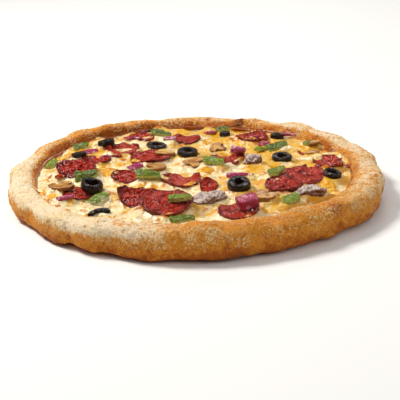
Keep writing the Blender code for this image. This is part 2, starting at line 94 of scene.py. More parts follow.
# Loose bits too small for a solid of their own: x, y, length, width and thickness in millimetres,
# turn in degrees and bend.
BITS = {
    "pepperoni": (
        (123.6, 9.0, 11, 6, 2.0, 82, 0.3),
        (-66, 40, 9, 5, 2.0, 20, 0.2),
        (90, 44, 9, 5, 1.8, -30, 0.2),
        (-106, -17, 12, 6, 2.0, 12, 0.3),
    ),
    "olive": ((-43, 116, 12, 5, 3.4, 12, 0.5),),
    "pepper": (
        (-8, 52, 13, 6, 2.4, 8, 0.4),
        (100, -6, 15, 6, 2.6, -28, 0.3),
        (56, 50, 12, 7, 2.4, 24, 0.2),
    ),
    "onion": (
        (-75, 38, 13, 3.4, 2.4, 20, 0.6),
        (-56, 86, 16, 3.4, 2.4, -12, 0.6),
        (15, 112, 13, 3.6, 2.4, 4, 0.5),
        (82, 90, 15, 4.0, 2.6, -16, 0.5),
        (61, 73, 14, 6.0, 2.6, 34, 0.3),
        (-24, 52, 14, 3.0, 2.2, -26, 0.6),
        (52, 86, 12, 3.0, 2.2, 8, 0.6),
    ),
    "mushroom": (
        (100, 45, 14, 9, 3.0, 12, 0.3),
        (-26, 41, 19, 11, 3.0, -20, 0.2),
        (104, 66, 12, 7, 3.0, 40, 0.3),
    ),
    "sausage": (),
}

# Cheese melted over what lies there: x, y, length and width in millimetres, turn in degrees, thickness,
# how yellow and how browned.
MELTS = (
    (-111.0, 50.0, 18, 11, 20, 4.6, 0.6, 0.5),
    (-118.0, 0.0, 16, 13, 80, 2.6, 0.1, 0.0),
    (-116.0, -38.0, 15, 11, 60, 2.2, 0.1, 0.0),
    (-110.0, -56.0, 11, 8, 30, 2.0, 1.3, 0.3),
    (-71.0, 6.5, 17, 9, 10, 2.2, 1.2, 1.3),
    (-60.0, 33.0, 12, 7, -20, 2.2, 0.7, 0.8),
    (-30.0, -30.0, 20, 7, 12, 2.0, 0.5, 0.3),
    (-5.0, -16.0, 13, 10, 0, 1.4, 0.1, 0.0),
    (-4.0, -37.0, 10, 8, 30, 1.8, 0.8, 0.3),
    (25.3, 34.0, 16, 8, 5, 1.5, 0.6, 0.9),
    (64.0, -34.0, 14, 8, 30, 1.6, 0.6, 0.1),
    (82.0, 51.0, 20, 12, 0, 3.0, 0.1, 0.0),
    (88.0, 29.0, 16, 10, 20, 2.2, 0.1, 0.0),
    (-26.4, 43.8, 13, 9, -10, 1.6, 0.1, 0.1),
    (-78.0, 8.0, 10, 8, 0, 2.0, 0.1, 0.1),
    (28.0, -69.0, 12, 9, 10, 2.4, 0.1, 0.0),
    (63.0, -92.0, 14, 8, 5, 2.4, 0.6, 0.0),
    (53.0, -28.0, 12, 8, 10, 1.6, 1.1, 0.9),
    (8.5, 43.0, 16, 9, 10, 2.2, 0.1, 0.1),
    (-50.0, 25.0, 9, 6, 30, 1.5, 0.9, 0.2),
    (-16.0, 21.0, 10, 6, 0, 2.0, 0.8, 0.2),
    (-12.0, 118.0, 12, 6, 0, 2.0, 0.8, 0.2),
    (94.0, -4.0, 10, 6, -30, 1.6, 0.9, 0.0),
    (119.0, 41.0, 11, 7, 80, 2.0, 0.8, 0.5),
    (106.0, -41.0, 12, 8, 30, 2.6, 0.8, 0.5),
    (83.0, -75.0, 11, 7, 10, 2.4, 0.9, 0.5),
    (13.0, -97.0, 12, 8, 0, 2.0, 0.9, 0.1),
    (37.0, 17.0, 10, 6, 0, 2.0, 0.6, 0.5),
    (71.0, 16.0, 11, 7, 0, 2.0, 0.5, 0.4),
    (9.0, 75.0, 12, 7, 0, 2.2, 0.6, 0.3),
    (-62.0, 57.0, 12, 7, 20, 1.6, 0.3, 0.6),
    (-80.0, 39.0, 8, 6, 20, 1.6, 0.4, 0.3),
    (34.0, 86.0, 15, 7, 0, 2.4, 0.6, 1.0),
    (50.0, 79.0, 12, 6, 20, 2.2, 0.6, 0.9),
    (28.0, 8.0, 22, 5, -6, 2.0, 0.0, 0.0),
    (-43.0, 91.0, 10, 7, 10, 1.5, 0.5, 0.9),
    (-17.0, 57.0, 12, 7, 10, 2.0, 0.1, 0.1),
    (-58.0, 42.0, 12, 6, -20, 1.4, 0.1, 0.1),
    (9.0, -1.0, 15, 8, 0, 1.8, 1.1, 0.6),
    (53.0, -17.0, 12, 7, 0, 2.2, 0.2, 0.1),
    (112.0, 62.0, 12, 6, 120, 2.2, 0.5, 0.9),
    (-30.0, 108.0, 12, 6, 20, 2.0, 0.5, 0.4),
    (70.0, 98.0, 12, 6, -30, 2.0, 0.6, 0.6),
    (-8.0, -2.0, 12, 7, 10, 2.0, 0.3, 0.2),
    (102.0, 20.0, 10, 7, 60, 2.0, 0.6, 0.3),
)

# The cheese's grid, and how far in millimetres it is tucked into the wall, stands under a topping and rises.
CHEESE_CELLS = 300
CHEESE_TUCK = 1.2
UNDER_TOPPING = 0.55
MOST_RISE = 5.5

# How fast the cheese falls away round a topping, in millimetres for each cell of the grid.
SKIRT_SLOPE = 0.5
EDGE_SLOPE = 0.7

# How little the cheese laps over toppings, and how high an edge in millimetres it still laps over.
LAP_LESS = 0.10
MOST_LAP = 8.5

# Points along the line of sauce and round it, and its mean radius in millimetres.
SAUCE_STEPS = 420
SAUCE_SIDES = 8
SAUCE_RADIUS = 126

# Slices of pepperoni narrower than this many millimetres, and loose bits, are drawn with fewer levels.
SMALL_SLICE = 27.5
SMALL_LEVELS = 2

# How uneven a slice of pepperoni is: share of its reach, and millimetres up and down.
WAVY_OUTLINE = 0.11
WAVY_RISE = 0.9

# Stations along a loose bit, and rings and spokes of a melted patch.
BIT_STATIONS = 6
MELT_RINGS = 9
MELT_SPOKES = 26

# Second colours of the finishes, beside those that the settings hold.
THIN_FLOUR = (0.88, 0.58, 0.23, 1.0)
# Painted shade for the hollows of the crust's relief.
CRUST_PIT_SHADE = (0.42, 0.120, 0.007, 1.0)
SAUCE_OIL = (0.50, 0.16, 0.02, 1.0)
# Lighter red for the raised parts of the slices: partly tone, partly painted light.
PEPPERONI_TONE_AND_LIGHT = (0.66, 0.060, 0.018, 1.0)
PEPPERONI_UNDER = (0.34, 0.05, 0.03, 1.0)
# Paler colour for the raised parts: partly paler flesh, partly painted highlight.
MUSHROOM_PALE_AND_HIGHLIGHT = (0.68, 0.37, 0.095, 1.0)
# Painted shade for the sides of the lumps.
SAUSAGE_SHADED_SIDE = (0.26, 0.115, 0.065, 1.0)
# Painted glint colour for the raised lumps.
SAUSAGE_GLINT_PAINT = (0.88, 0.78, 0.72, 1.0)
# Lighter green for the raised parts: partly tone, partly painted highlight.
PEPPER_TONE_AND_HIGHLIGHT = (0.21, 0.29, 0.008, 1.0)
PEPPER_FLESH_LIGHT = (0.60, 0.64, 0.26, 1.0)
PEPPER_FLESH_PALE = (0.78, 0.80, 0.48, 1.0)
ONION_LIGHT = (0.38, 0.028, 0.115, 1.0)
ONION_CUT = (0.44, 0.050, 0.090, 1.0)
OLIVE_CUT = (0.030, 0.012, 0.010, 1.0)
FLOOR_TONES = ((0.90, 0.90, 0.89, 1.0), (0.92, 0.92, 0.91, 1.0))

# The camera: its target in metres, and its lens and sensor in millimetres.
CAMERA_TARGET = (0.0036, 0.0, -0.0067)
CAMERA_LENS = 98.532
CAMERA_SENSOR = 36.0

# Soft lights: name, the setting that holds its power, and width and place in metres.
LIGHTS = (
    ("Key light", "key_power", 0.40, (-0.72, 0.30, 1.02)),
    ("Back light", "back_power", 0.30, (0.30, 1.20, 0.72)),
    ("Front light", "front_power", 0.9, (1.0, -0.8, 0.7)),
)
LIGHT_TARGET = (0, 0, 0.01)
LIGHT_COLOUR = (1.0, 0.965, 0.90)

KINDS = ("pepperoni", "mushroom", "sausage", "pepper", "onion", "olive")
LAPPED_KINDS = ("pepperoni", "mushroom", "onion")


class CrustSettings(bpy.types.PropertyGroup):
    """Sizes and colours of the baked rim."""

    lump_height: bpy.props.FloatProperty(
        name="Lump height",
        description="How far the dough's lumps stand out",
        default=0.0011,
        unit="LENGTH",
    )
    lump_size: bpy.props.FloatProperty(
        name="Lump size", description="How wide the dough's lumps are", default=0.012, unit="LENGTH"
    )
    pit_depth: bpy.props.FloatProperty(
        name="Pit depth", description="How deep the small pits are", default=0.00042, unit="LENGTH"
    )
    pit_size: bpy.props.FloatProperty(
        name="Pit size", description="How wide the small pits are", default=0.0028, unit="LENGTH"
    )
    grain_size: bpy.props.FloatProperty(
        name="Grain size", description="Width of a grain of semolina", default=0.00085, unit="LENGTH"
    )
    grain_count: bpy.props.FloatProperty(
        name="Grains per square metre", description="How thickly the grains lie", default=520000.0
    )
    floury: bpy.props.FloatVectorProperty(
        name="Floury", description="Colour of the palest crust", subtype="COLOR", size=4,
        default=(0.94, 0.76, 0.52, 1.0),
    )
    golden: bpy.props.FloatVectorProperty(
        name="Golden", description="Colour of most of the crust", subtype="COLOR", size=4,
        default=(0.73, 0.275, 0.022, 1.0),
    )
    browned: bpy.props.FloatVectorProperty(
        name="Browned", description="Colour of the well baked crust", subtype="COLOR", size=4,
        default=(0.44, 0.100, 0.004, 1.0),
    )
    toasted: bpy.props.FloatVectorProperty(
        name="Toasted", description="Colour of blisters and scorched spots", subtype="COLOR", size=4,
        default=(0.22, 0.060, 0.008, 1.0),
    )
    grains: bpy.props.FloatVectorProperty(
        name="Grains", description="Colour of the grains of semolina", subtype="COLOR", size=4,
        default=(1.00, 0.80, 0.42, 1.0),
    )


class CheeseSettings(bpy.types.PropertyGroup):
    """Sizes and colours of the melted cheese and the sauce."""

    lump_height: bpy.props.FloatProperty(
        name="Lump height", description="How far melted lumps rise", default=0.0013, unit="LENGTH"
    )
    sauce_width: bpy.props.FloatProperty(
        name="Sauce width", description="Width of the line of sauce", default=0.0030, unit="LENGTH"
    )
    cream: bpy.props.FloatVectorProperty(
        name="Cream", description="Colour of pale melted cheese", subtype="COLOR", size=4,
        default=(0.90, 0.75, 0.45, 1.0),
    )
    butter: bpy.props.FloatVectorProperty(
        name="Butter", description="Colour of most of the melted cheese", subtype="COLOR", size=4,
        default=(0.76, 0.46, 0.085, 1.0),
    )
    yellow: bpy.props.FloatVectorProperty(
        name="Yellow", description="Colour of the yellow cheese", subtype="COLOR", size=4,
        default=(0.80, 0.40, 0.012, 1.0),
    )
    browned: bpy.props.FloatVectorProperty(
        name="Browned", description="Colour of browned cheese", subtype="COLOR", size=4,
        default=(0.55, 0.155, 0.008, 1.0),
    )
    oily: bpy.props.FloatVectorProperty(
        name="Oily", description="Colour of cheese stained by pepperoni and sauce", subtype="COLOR", size=4,
        default=(0.60, 0.135, 0.010, 1.0),
    )
    sauce: bpy.props.FloatVectorProperty(
        name="Sauce", description="Colour of the tomato sauce", subtype="COLOR", size=4,
        default=(0.26, 0.050, 0.010, 1.0),
    )


class ToppingSettings(bpy.types.PropertyGroup):
    """Colours of the toppings."""

    pepperoni: bpy.props.FloatVectorProperty(
        name="Pepperoni", description="Colour of the meat", subtype="COLOR", size=4,
        default=(0.52, 0.014, 0.004, 1.0),
    )
    pepperoni_fat: bpy.props.FloatVectorProperty(
        name="Pepperoni fat", description="Colour of the fat in it", subtype="COLOR", size=4,
        default=(0.70, 0.20, 0.13, 1.0),
    )
    # This colour is also painted into the hollows of the slices' relief as shade.
    pepperoni_edge_and_shade: bpy.props.FloatVectorProperty(
        name="Pepperoni edge", description="Colour of the crisped edge", subtype="COLOR", size=4,
        default=(0.10, 0.006, 0.004, 1.0),
    )
    mushroom: bpy.props.FloatVectorProperty(
        name="Mushroom", description="Colour of the flesh", subtype="COLOR", size=4,
        default=(0.34, 0.125, 0.018, 1.0),
    )
    mushroom_skin: bpy.props.FloatVectorProperty(
        name="Mushroom skin", description="Colour of skin and gills", subtype="COLOR", size=4,
        default=(0.22, 0.070, 0.012, 1.0),
    )
    sausage: bpy.props.FloatVectorProperty(
        name="Sausage", description="Colour of the meat", subtype="COLOR", size=4,
        default=(0.72, 0.56, 0.50, 1.0),
    )
    # Painted shade for the hollows of the lumps.
    sausage_dark: bpy.props.FloatVectorProperty(
        name="Sausage dark", description="Colour in its hollows", subtype="COLOR", size=4,
        default=(0.10, 0.040, 0.028, 1.0),
    )
    pepper: bpy.props.FloatVectorProperty(
        name="Green pepper", description="Colour of the skin", subtype="COLOR", size=4,
        default=(0.085, 0.118, 0.001, 1.0),
    )
    pepper_flesh: bpy.props.FloatVectorProperty(
        name="Pepper flesh", description="Colour of the cut flesh", subtype="COLOR", size=4,
        default=(0.36, 0.44, 0.06, 1.0),
    )
    onion: bpy.props.FloatVectorProperty(
        name="Red onion", description="Colour of the skin side", subtype="COLOR", size=4,
        default=(0.34, 0.018, 0.085, 1.0),
    )
    onion_flesh: bpy.props.FloatVectorProperty(
        name="Onion flesh", description="Colour of the pale flesh", subtype="COLOR", size=4,
        default=(0.74, 0.46, 0.56, 1.0),
    )
    olive: bpy.props.FloatVectorProperty(
        name="Olive", description="Colour of the olives", subtype="COLOR", size=4,
        default=(0.012, 0.005, 0.004, 1.0),
    )


class StageSettings(bpy.types.PropertyGroup):
    """Camera and light."""

    camera_height: bpy.props.FloatProperty(
        name="Camera height", description="Angle of the camera above the table", subtype="ANGLE",
        default=math.radians(19.95),
    )
    camera_distance: bpy.props.FloatProperty(
        name="Camera distance", description="From the camera to its target", default=0.9, unit="LENGTH"
    )
    camera_roll: bpy.props.FloatProperty(
        name="Camera roll", description="Turn of the camera about its own line of sight", subtype="ANGLE",
        default=math.radians(-0.93),
    )
    key_power: bpy.props.FloatProperty(
        name="Key light", description="Power of the large soft light", default=16.3, unit="POWER"
    )
    back_power: bpy.props.FloatProperty(
        name="Back light", description="Power of the light behind", default=2.8, unit="POWER"
    )
    front_power: bpy.props.FloatProperty(
        name="Front light", description="Power of the weak light in front", default=3.6, unit="POWER"
    )
    sky: bpy.props.FloatProperty(name="Sky", description="Strength of the even light", default=0.26)


class Value:
    """A number, vector or colour in a material, so that a sum of them is written as in Python."""

    def __init__(self, finish, socket):
        self.finish = finish
        self.socket = socket

    def math(self, operation, first, second):
        return self.finish.node("ShaderNodeMath", {"operation": operation}, {0: first, 1: second})

    def __add__(self, other):
        return self.math("ADD", self, other)

    def __radd__(self, other):
        return self.math("ADD", other, self)

    def __sub__(self, other):
        return self.math("SUBTRACT", self, other)

    def __rsub__(self, other):
        return self.math("SUBTRACT", other, self)

    def __mul__(self, other):
        return self.math("MULTIPLY", self, other)

    def __rmul__(self, other):
        return self.math("MULTIPLY", other, self)


class Finish:
    """A material being made, with one way to add any node to it."""

    def __init__(self, name, roughness=0.5, coat=0.0, shine=0.4):
        self.material = bpy.data.materials.new(name)
        self.material.use_nodes = True
        self.tree = self.material.node_tree
        self.shader = next(node for node in self.tree.nodes if node.type == "BSDF_PRINCIPLED")
        self.shader.inputs["Roughness"].default_value = roughness
        self.shader.inputs["Coat Weight"].default_value = coat
        self.shader.inputs["Specular IOR Level"].default_value = shine
        self.shader.inputs["Coat Roughness"].default_value = 0.08
        self.place = self.node("ShaderNodeTexCoord", output="Object")

    def node(self, kind, settings=None, values=None, output=0):
        made = self.tree.nodes.new(kind)
        for name, value in (settings or {}).items():
            setattr(made, name, value)
        for name, value in (values or {}).items():
            self.feed(made.inputs[name], value)
        return Value(self, made.outputs[output])

    def feed(self, socket, value):
        if isinstance(value, Value):
            self.tree.links.new(value.socket, socket)
        else:
            socket.default_value = value

    def mix(self, share, first, second):
        return self.node("ShaderNodeMix", {"data_type": "RGBA"}, {0: share, 6: first, 7: second}, 2)

    def mark(self, name):
        return self.node("ShaderNodeAttribute", {"attribute_name": name}, output=2)

    def cloud(self, size, detail=2.0, roughness=0.55, shift=0.0):
        """Soft mottling from 0 to 1 whose blotches are this wide."""
        values = {"Vector": self.shifted(shift), "Scale": 1 / size}
        values.update({"Detail": detail, "Roughness": roughness})
        return self.node("ShaderNodeTexNoise", values=values)

    def specks(self, size, shift=0.0):
        """0 at the middle of each speck, rising to about 1 between specks."""
        return self.node("ShaderNodeTexVoronoi", values={"Vector": self.shifted(shift), "Scale": 1 / size})

    def shifted(self, shift):
        if not shift:
            return self.place
        values = {0: self.place, 1: (shift, shift * 0.7, shift * 1.3)}
        return self.node("ShaderNodeVectorMath", {"operation": "ADD"}, values)

    def step(self, value, low, high):
        """0 below low, 1 above high, and soft between them. Swapped limits turn it round."""
        if low > high:
            return 1 - self.step(value, high, low)
        values = {"Value": value, "From Min": low, "From Max": high}
        return self.node("ShaderNodeMapRange", {"interpolation_type": "SMOOTHSTEP"}, values)

    def relief(self, height, distance):
        values = {"Height": height, "Distance": distance, "Strength": 1.0}
        return self.node("ShaderNodeBump", values=values)

    def done(self, colour, roughness=None, normal=None):
        self.feed(self.shader.inputs["Base Color"], colour)
        if roughness is not None:
            self.feed(self.shader.inputs["Roughness"], roughness)
        if normal is not None:
            self.feed(self.shader.inputs["Normal"], normal)
        return self.material


def crust_finish(settings):
    finish = Finish("Baked crust", roughness=0.62, shine=0.22)
    finish.shader.inputs["Subsurface Weight"].default_value = 0.06
    finish.shader.inputs["Subsurface Radius"].default_value = (0.004, 0.002, 0.001)
    floury, toasted = finish.mark("floury"), finish.mark("toasted")
    wide, close, fine = finish.cloud(0.016), finish.cloud(0.0052, 4.0, 0.7), finish.cloud(0.0025, 3.0, 0.7)
    pale = finish.step(floury + (wide - 0.5) * 1.2 + (close - 0.5) * 2.2 + (fine - 0.5) * 1.2, 0.32, 0.98)
    brown = finish.step(toasted + (wide - 0.5) * 1.4 + (close - 0.5) * 2.6 + (fine - 0.5) * 1.4, 0.34, 0.96)
    flour = finish.mix(finish.step(floury, 0.36, 0.80), THIN_FLOUR, tuple(settings.floury))
    colour = finish.mix(pale, tuple(settings.golden), flour)
    colour = finish.mix(brown, colour, tuple(settings.browned))
    scorch = finish.step(toasted + (close - 0.5) * 0.8, 0.95, 1.35)
    colour = finish.mix(scorch, colour, tuple(settings.toasted))
    # Painted shade: darker brown in the hollows of the fine relief, less so where the crust is floury.
    pits = finish.step(fine, 0.50, 0.34)
    colour = finish.mix(pits * (0.90 - 0.60 * floury), colour, CRUST_PIT_SHADE)
    dusted = finish.mark("dusted")
    dust = finish.step(finish.specks(0.0027), 0.54, 0.26) * finish.step(close, 0.36, 0.52)
    dust = dust * finish.step(dusted + (close - 0.5), 0.05, 0.60)
    colour = finish.mix(dust * (0.34 + 0.36 * floury), colour, tuple(settings.grains))
    bump = finish.relief(fine * 1.3 + close * 1.1 + dust * 0.25, 0.0016)
    return finish.done(colour, finish.step(close, 0.1, 0.9) * 0.25 + 0.5, bump)


def grain_finish(settings):
    finish = Finish("Semolina grains", roughness=0.7, shine=0.2)
    tone = finish.cloud(0.003)
    colour = finish.mix(finish.step(tone, 0.46, 0.66) * 0.8, tuple(settings.grains), tuple(settings.golden))
    return finish.done(colour)


def cheese_finish(settings):
    finish = Finish("Melted cheese", roughness=0.36, coat=0.10, shine=0.35)
    finish.shader.inputs["Subsurface Weight"].default_value = 0.18
    finish.shader.inputs["Subsurface Radius"].default_value = (0.006, 0.003, 0.001)
    yellow, browned, creamy = finish.mark("yellow"), finish.mark("browned"), finish.mark("creamy")
    wide, close, fine = finish.cloud(0.013), finish.cloud(0.0052, 2.0, 0.5, 1.7), finish.cloud(0.0016)
    gold = finish.step(yellow - creamy * 0.6 + (wide - 0.5) * 3.0 + (close - 0.5) * 1.8, 0.34, 0.72)
    pale = finish.step(finish.cloud(0.019, 1.0, shift=4.1) + (close - 0.5) * 0.5 + creamy, 0.40, 0.54)
    cream = finish.mix(pale, tuple(settings.butter), tuple(settings.cream))
    colour = finish.mix(gold, cream, tuple(settings.yellow))
    brown = finish.step(browned + (close - 0.5) * 2.2 + (fine - 0.5) * 0.5, 0.36, 0.84)
    colour = finish.mix(brown, colour, tuple(settings.browned))
    oily = finish.step(finish.mark("oily") + (close - 0.5) * 1.8 + (wide - 0.5) * 0.9, 0.46, 0.86)
    colour = finish.mix(oily * 0.85, colour, tuple(settings.oily))
    bump = finish.relief(close * 1.1 + fine * 0.16, 0.0021)
    return finish.done(colour, finish.step(fine, 0.2, 0.8) * 0.20 + 0.12, bump)


def sauce_finish(settings):
    finish = Finish("Tomato sauce", roughness=0.3, coat=0.3)
    close = finish.cloud(0.003, 3.0)
    colour = finish.mix(finish.step(close, 0.4, 0.75), tuple(settings.sauce), SAUCE_OIL)
    return finish.done(colour, normal=finish.relief(close, 0.0008))


def pepperoni_finish(settings):
    finish = Finish("Pepperoni", roughness=0.3, shine=0.56)
    rim, face, tone = finish.mark("rim"), finish.mark("face"), finish.mark("tone")
    wide, close, fine = finish.cloud(0.006, 2.0), finish.cloud(0.0022, 2.0), finish.specks(0.0026, 2.3)
    fat = finish.step(fine, 0.38, 0.10) * finish.step(close, 0.42, 0.62)
    # Lighter red on the raised parts of the relief: partly each slice's tone, partly painted light.
    light = finish.step(wide + tone * 0.3, 0.35, 0.95) * 0.6
    colour = finish.mix(light, tuple(settings.pepperoni), PEPPERONI_TONE_AND_LIGHT)
    colour = finish.mix(fat * 0.35, colour, tuple(settings.pepperoni_fat))
    # Painted shade: darker in the hollows of the relief, in the colour of the crisped edge.
    dark = finish.step(wide + (close - 0.5) * 0.45, 0.50, 0.34) * 0.66
    colour = finish.mix(dark, colour, tuple(settings.pepperoni_edge_and_shade))
    edge = finish.step(rim + (wide - 0.5) * 0.35, 0.76, 1.0)
    colour = finish.mix(edge * 0.6, colour, tuple(settings.pepperoni_edge_and_shade))
    under = finish.step(face, 0.1, -0.5)
    colour = finish.mix(under * 0.5, colour, PEPPERONI_UNDER)
    bump = finish.relief(close * 1.2 + wide * 3.2, 0.0040)
    return finish.done(colour, finish.step(close, 0.2, 0.8) * 0.20 + 0.09, bump)


def mushroom_finish(settings):
    finish = Finish("Mushroom", roughness=0.36, coat=0.15, shine=0.3)
    rim, face, tone = finish.mark("rim"), finish.mark("face"), finish.mark("tone")
    wide, close = finish.cloud(0.005), finish.cloud(0.0018, 3.0)
    side = finish.step(face + (close - 0.5) * 0.6, 0.85, 0.35)
    # Paler patches on the raised parts of the relief: partly paler flesh, partly painted highlight.
    colour = finish.mix(finish.step(wide, 0.40, 0.62) * 0.85, tuple(settings.mushroom), MUSHROOM_PALE_AND_HIGHLIGHT)
    colour = finish.mix(side * 0.8, colour, tuple(settings.mushroom_skin))
    gills = finish.step(rim + (wide - 0.5) * 0.6, 0.72, 1.0) * 0.55
    colour = finish.mix(gills * (0.5 + 0.5 * tone), colour, tuple(settings.mushroom_skin))
    return finish.done(colour, normal=finish.relief(close + wide * 0.4, 0.0008))


def sausage_finish(settings):
    finish = Finish("Sausage", roughness=0.45, coat=0.15)
    face = finish.mark("face")
    wide, close, lumps = finish.cloud(0.005), finish.cloud(0.0017, 3.0), finish.specks(0.0034, 1.1)
    # Painted light and shade: the tops lighter, the sides darker and browner.
    top = finish.step(face + (wide - 0.5) * 0.7, -0.1, 0.55)
    colour = finish.mix(top, SAUSAGE_SHADED_SIDE, tuple(settings.sausage))
    # Painted shade: darker in the hollows of the relief.
    colour = finish.mix(finish.step(close, 0.60, 0.35) * 0.8, colour, tuple(settings.sausage_dark))
    # Painted glints: near-white specks on the raised lumps stand in for highlights.
    fat = finish.step(lumps, 0.28, 0.08) * finish.step(close, 0.45, 0.6)
    colour = finish.mix(fat * 0.7, colour, SAUSAGE_GLINT_PAINT)
    return finish.done(colour, normal=finish.relief(close + (1 - lumps) * 0.5, 0.0014))


def pepper_finish(settings):
    finish = Finish("Green pepper", roughness=0.11, shine=0.38)
    face, tone = finish.mark("face"), finish.mark("tone")
    wide, close = finish.cloud(0.006), finish.cloud(0.0016, 2.0)
    # Lighter green: partly each piece's tone, partly painted highlight on the raised parts of the relief.
    light = finish.step(wide * 0.6 + tone * 0.4, 0.28, 0.78)
    skin = finish.mix(light, tuple(settings.pepper), PEPPER_TONE_AND_HIGHLIGHT)
    turned = finish.step(tone, 0.60, 0.61) * finish.step(tone, 0.64, 0.63)
    cut = finish.step(face - turned * 0.35 + (close - 0.5) * 0.3 + (wide - 0.5) * 0.7, 0.60, 0.26)
    flesh = finish.mix(finish.step(close, 0.35, 0.7), tuple(settings.pepper_flesh), PEPPER_FLESH_LIGHT)
    flesh = finish.mix(turned, flesh, PEPPER_FLESH_PALE)
    colour = finish.mix(cut, skin, flesh)
    return finish.done(colour, normal=finish.relief(close * 0.6 + wide * 1.8, 0.0020))


def onion_finish(settings):
    finish = Finish("Red onion", roughness=0.22, coat=0.08, shine=0.45)
    face, rim, tone = finish.mark("face"), finish.mark("rim"), finish.mark("tone")
    wide, close = finish.cloud(0.005), finish.cloud(0.0016, 2.0)
    skin = finish.mix(finish.step(wide, 0.4, 0.8) * 0.5, tuple(settings.onion), ONION_LIGHT)
    cut = finish.step(face + (close - 0.5) * 0.3, 0.55, 0.15)
    colour = finish.mix(cut * 0.55, skin, ONION_CUT)
    streak = finish.step(wide + (close - 0.5) * 0.5 + rim * 0.12, 0.63, 0.72) * (0.6 + 0.4 * tone)
    colour = finish.mix(streak, colour, tuple(settings.onion_flesh))
    return finish.done(colour, normal=finish.relief(close + wide, 0.0006))


def olive_finish(settings):
    finish = Finish("Black olive", roughness=0.08, shine=0.30)
    face = finish.mark("face")
    wide, close = finish.cloud(0.005), finish.cloud(0.0012, 2.0)
    cut = finish.step(face, 0.55, 0.9) * finish.step(wide, 0.3, 0.7)
    colour = finish.mix(cut * 0.4, tuple(settings.olive), OLIVE_CUT)
    return finish.done(colour, normal=finish.relief(close * 0.35 + wide * 2.0, 0.0018))


FINISHES = {
    "pepperoni": pepperoni_finish,
    "mushroom": mushroom_finish,
    "sausage": sausage_finish,
    "pepper": pepper_finish,
    "onion": onion_finish,
    "olive": olive_finish,
}
SLOTS = {
    "pepperoni": "pepperoni",
    "mushroom": "mushroom",
    "sausage": "sausage",
    "pepper": "green_pepper",
    "onion": "red_onion",
    "olive": "black_olive",
}
# Levels of subdivision, height and width of the lumps in millimetres, and how sharp the corners stay.
WORKING = {
    "pepperoni": (3, 0.95, 4.2, 0.5),
    "mushroom": (3, 0.45, 3.0, 0.3),
    "sausage": (3, 1.10, 3.0, 0.2),
    "pepper": (3, 0.70, 4.5, 1),
    "onion": (3, 0.30, 3.5, 1),
    "olive": (3, 0.22, 4.0, 0.3),
}


def lumps_at(points, size, seed=0):
    """Smooth random heights from -1 to 1 at points in metres, in lumps about this many millimetres wide."""
    scaled = points / (size * MM) + seed * 17.3
    cell = np.floor(scaled).astype(np.int64)
    part = scaled - cell
    part = part * part * (3 - 2 * part)
    total = np.zeros(len(points))
    for corner in range(8):
        step = np.array([corner & 1, corner >> 1 & 1, corner >> 2 & 1])
        at = cell + step
        key = at[:, 0] * 73856093 ^ at[:, 1] * 19349663 ^ at[:, 2] * 83492791 ^ seed * 2654435761
        key = (key ^ (key >> 13)) * 1274126177 & 0x7FFFFFFF
        height = (key ^ (key >> 16)) % 65536 / 32767.5 - 1
        total += height * np.prod(np.where(step, part, 1 - part), axis=1)
    return total


def smooth(low, high, value):
    share = np.clip((value - low) / (high - low), 0.0, 1.0)
    return share * share * (3 - 2 * share)


def around(sizes, angle):
    """A size that changes smoothly around the pizza, from values at equal steps of angle."""
    values = np.array(sizes)[:, None]
    fine = smooth_rows(values, 30, closed=True)[:, 0]
    at = (angle % math.tau) / math.tau * len(fine)
    return np.interp(at, np.arange(len(fine) + 1), np.append(fine, fine[0]))


def smooth_rows(rows, steps, closed):
    """Rows drawn finer, on smooth curves through the given ones."""
    count = len(rows)
    spans = count if closed else count - 1
    at = np.arange(spans * steps + (not closed)) / steps
    start = np.minimum(at.astype(int), spans - 1)
    part = (at - start).reshape((-1,) + (1,) * (rows.ndim - 1))

    def row(shift):
        index = start + shift
        return rows[index % count] if closed else rows[np.clip(index, 0, count - 1)]

    a, b, c, d = row(-1), row(0), row(1), row(2)
    curve = 2 * b + (c - a) * part + (2 * a - 5 * b + 4 * c - d) * part**2
    return (curve + (3 * b - a - 3 * c + d) * part**3) / 2


def merged_copy(node):
    """A copy of a solid's mesh, with its loose triangles joined."""
    mesh = bmesh.new()
    mesh.from_mesh(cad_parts[node].data)
    bmesh.ops.remove_doubles(mesh, verts=mesh.verts[:], dist=0.01 * MM)
    return mesh


def nodes_of(kind):
    return sorted(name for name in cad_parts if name.startswith(kind + "_"))


def solids_of(*kinds):
    return [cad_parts[node] for kind in kinds for node in nodes_of(kind)]


def tree_of(pieces):
    """What rays meet on these objects."""
    points, faces = [], []
    for piece in pieces:
        first = len(points)
        points += [vertex.co.copy() for vertex in piece.data.vertices]
        faces += [[first + index for index in polygon.vertices] for polygon in piece.data.polygons]
    return BVHTree.FromPolygons(points, faces)


def heights_met(tree, x, y, start, way):
    """Height of the first thing met at each place, straight down or up from start in millimetres, or nan."""
    found = np.full(x.size, np.nan)
    direction = Vector((0, 0, way))
    for index, (east, north) in enumerate(zip(x.ravel().tolist(), y.ravel().tolist())):
        hit = tree.ray_cast(Vector((east, north, start * MM)), direction)[0]
        if hit is not None:
            found[index] = hit.z
    return found.reshape(x.shape)


def heights_down(tree, x, y):
    return heights_met(tree, x, y, RAYS_ABOVE, -1)


def heights_up(tree, x, y):
    return heights_met(tree, x, y, RAYS_BELOW, 1)


def band(low, high):
    """Quads between two closed rings, given as the indices of their points."""
    return np.stack([low, np.roll(low, -1), np.roll(high, -1), high], axis=1).tolist()


def new_piece(name, points, faces, marks, material):
    mesh = bpy.data.meshes.new(name)
    mesh.from_pydata(points.tolist(), [], faces)
    for mark, values in marks.items():
        layer = mesh.attributes.new(mark, "FLOAT", "POINT")
        layer.data.foreach_set("value", np.asarray(values, np.float32))
    if material is not None:
        mesh.materials.append(material)
    mesh.shade_smooth()
    piece = bpy.data.objects.new(name, mesh)
    bpy.context.scene.collection.objects.link(piece)
    return piece


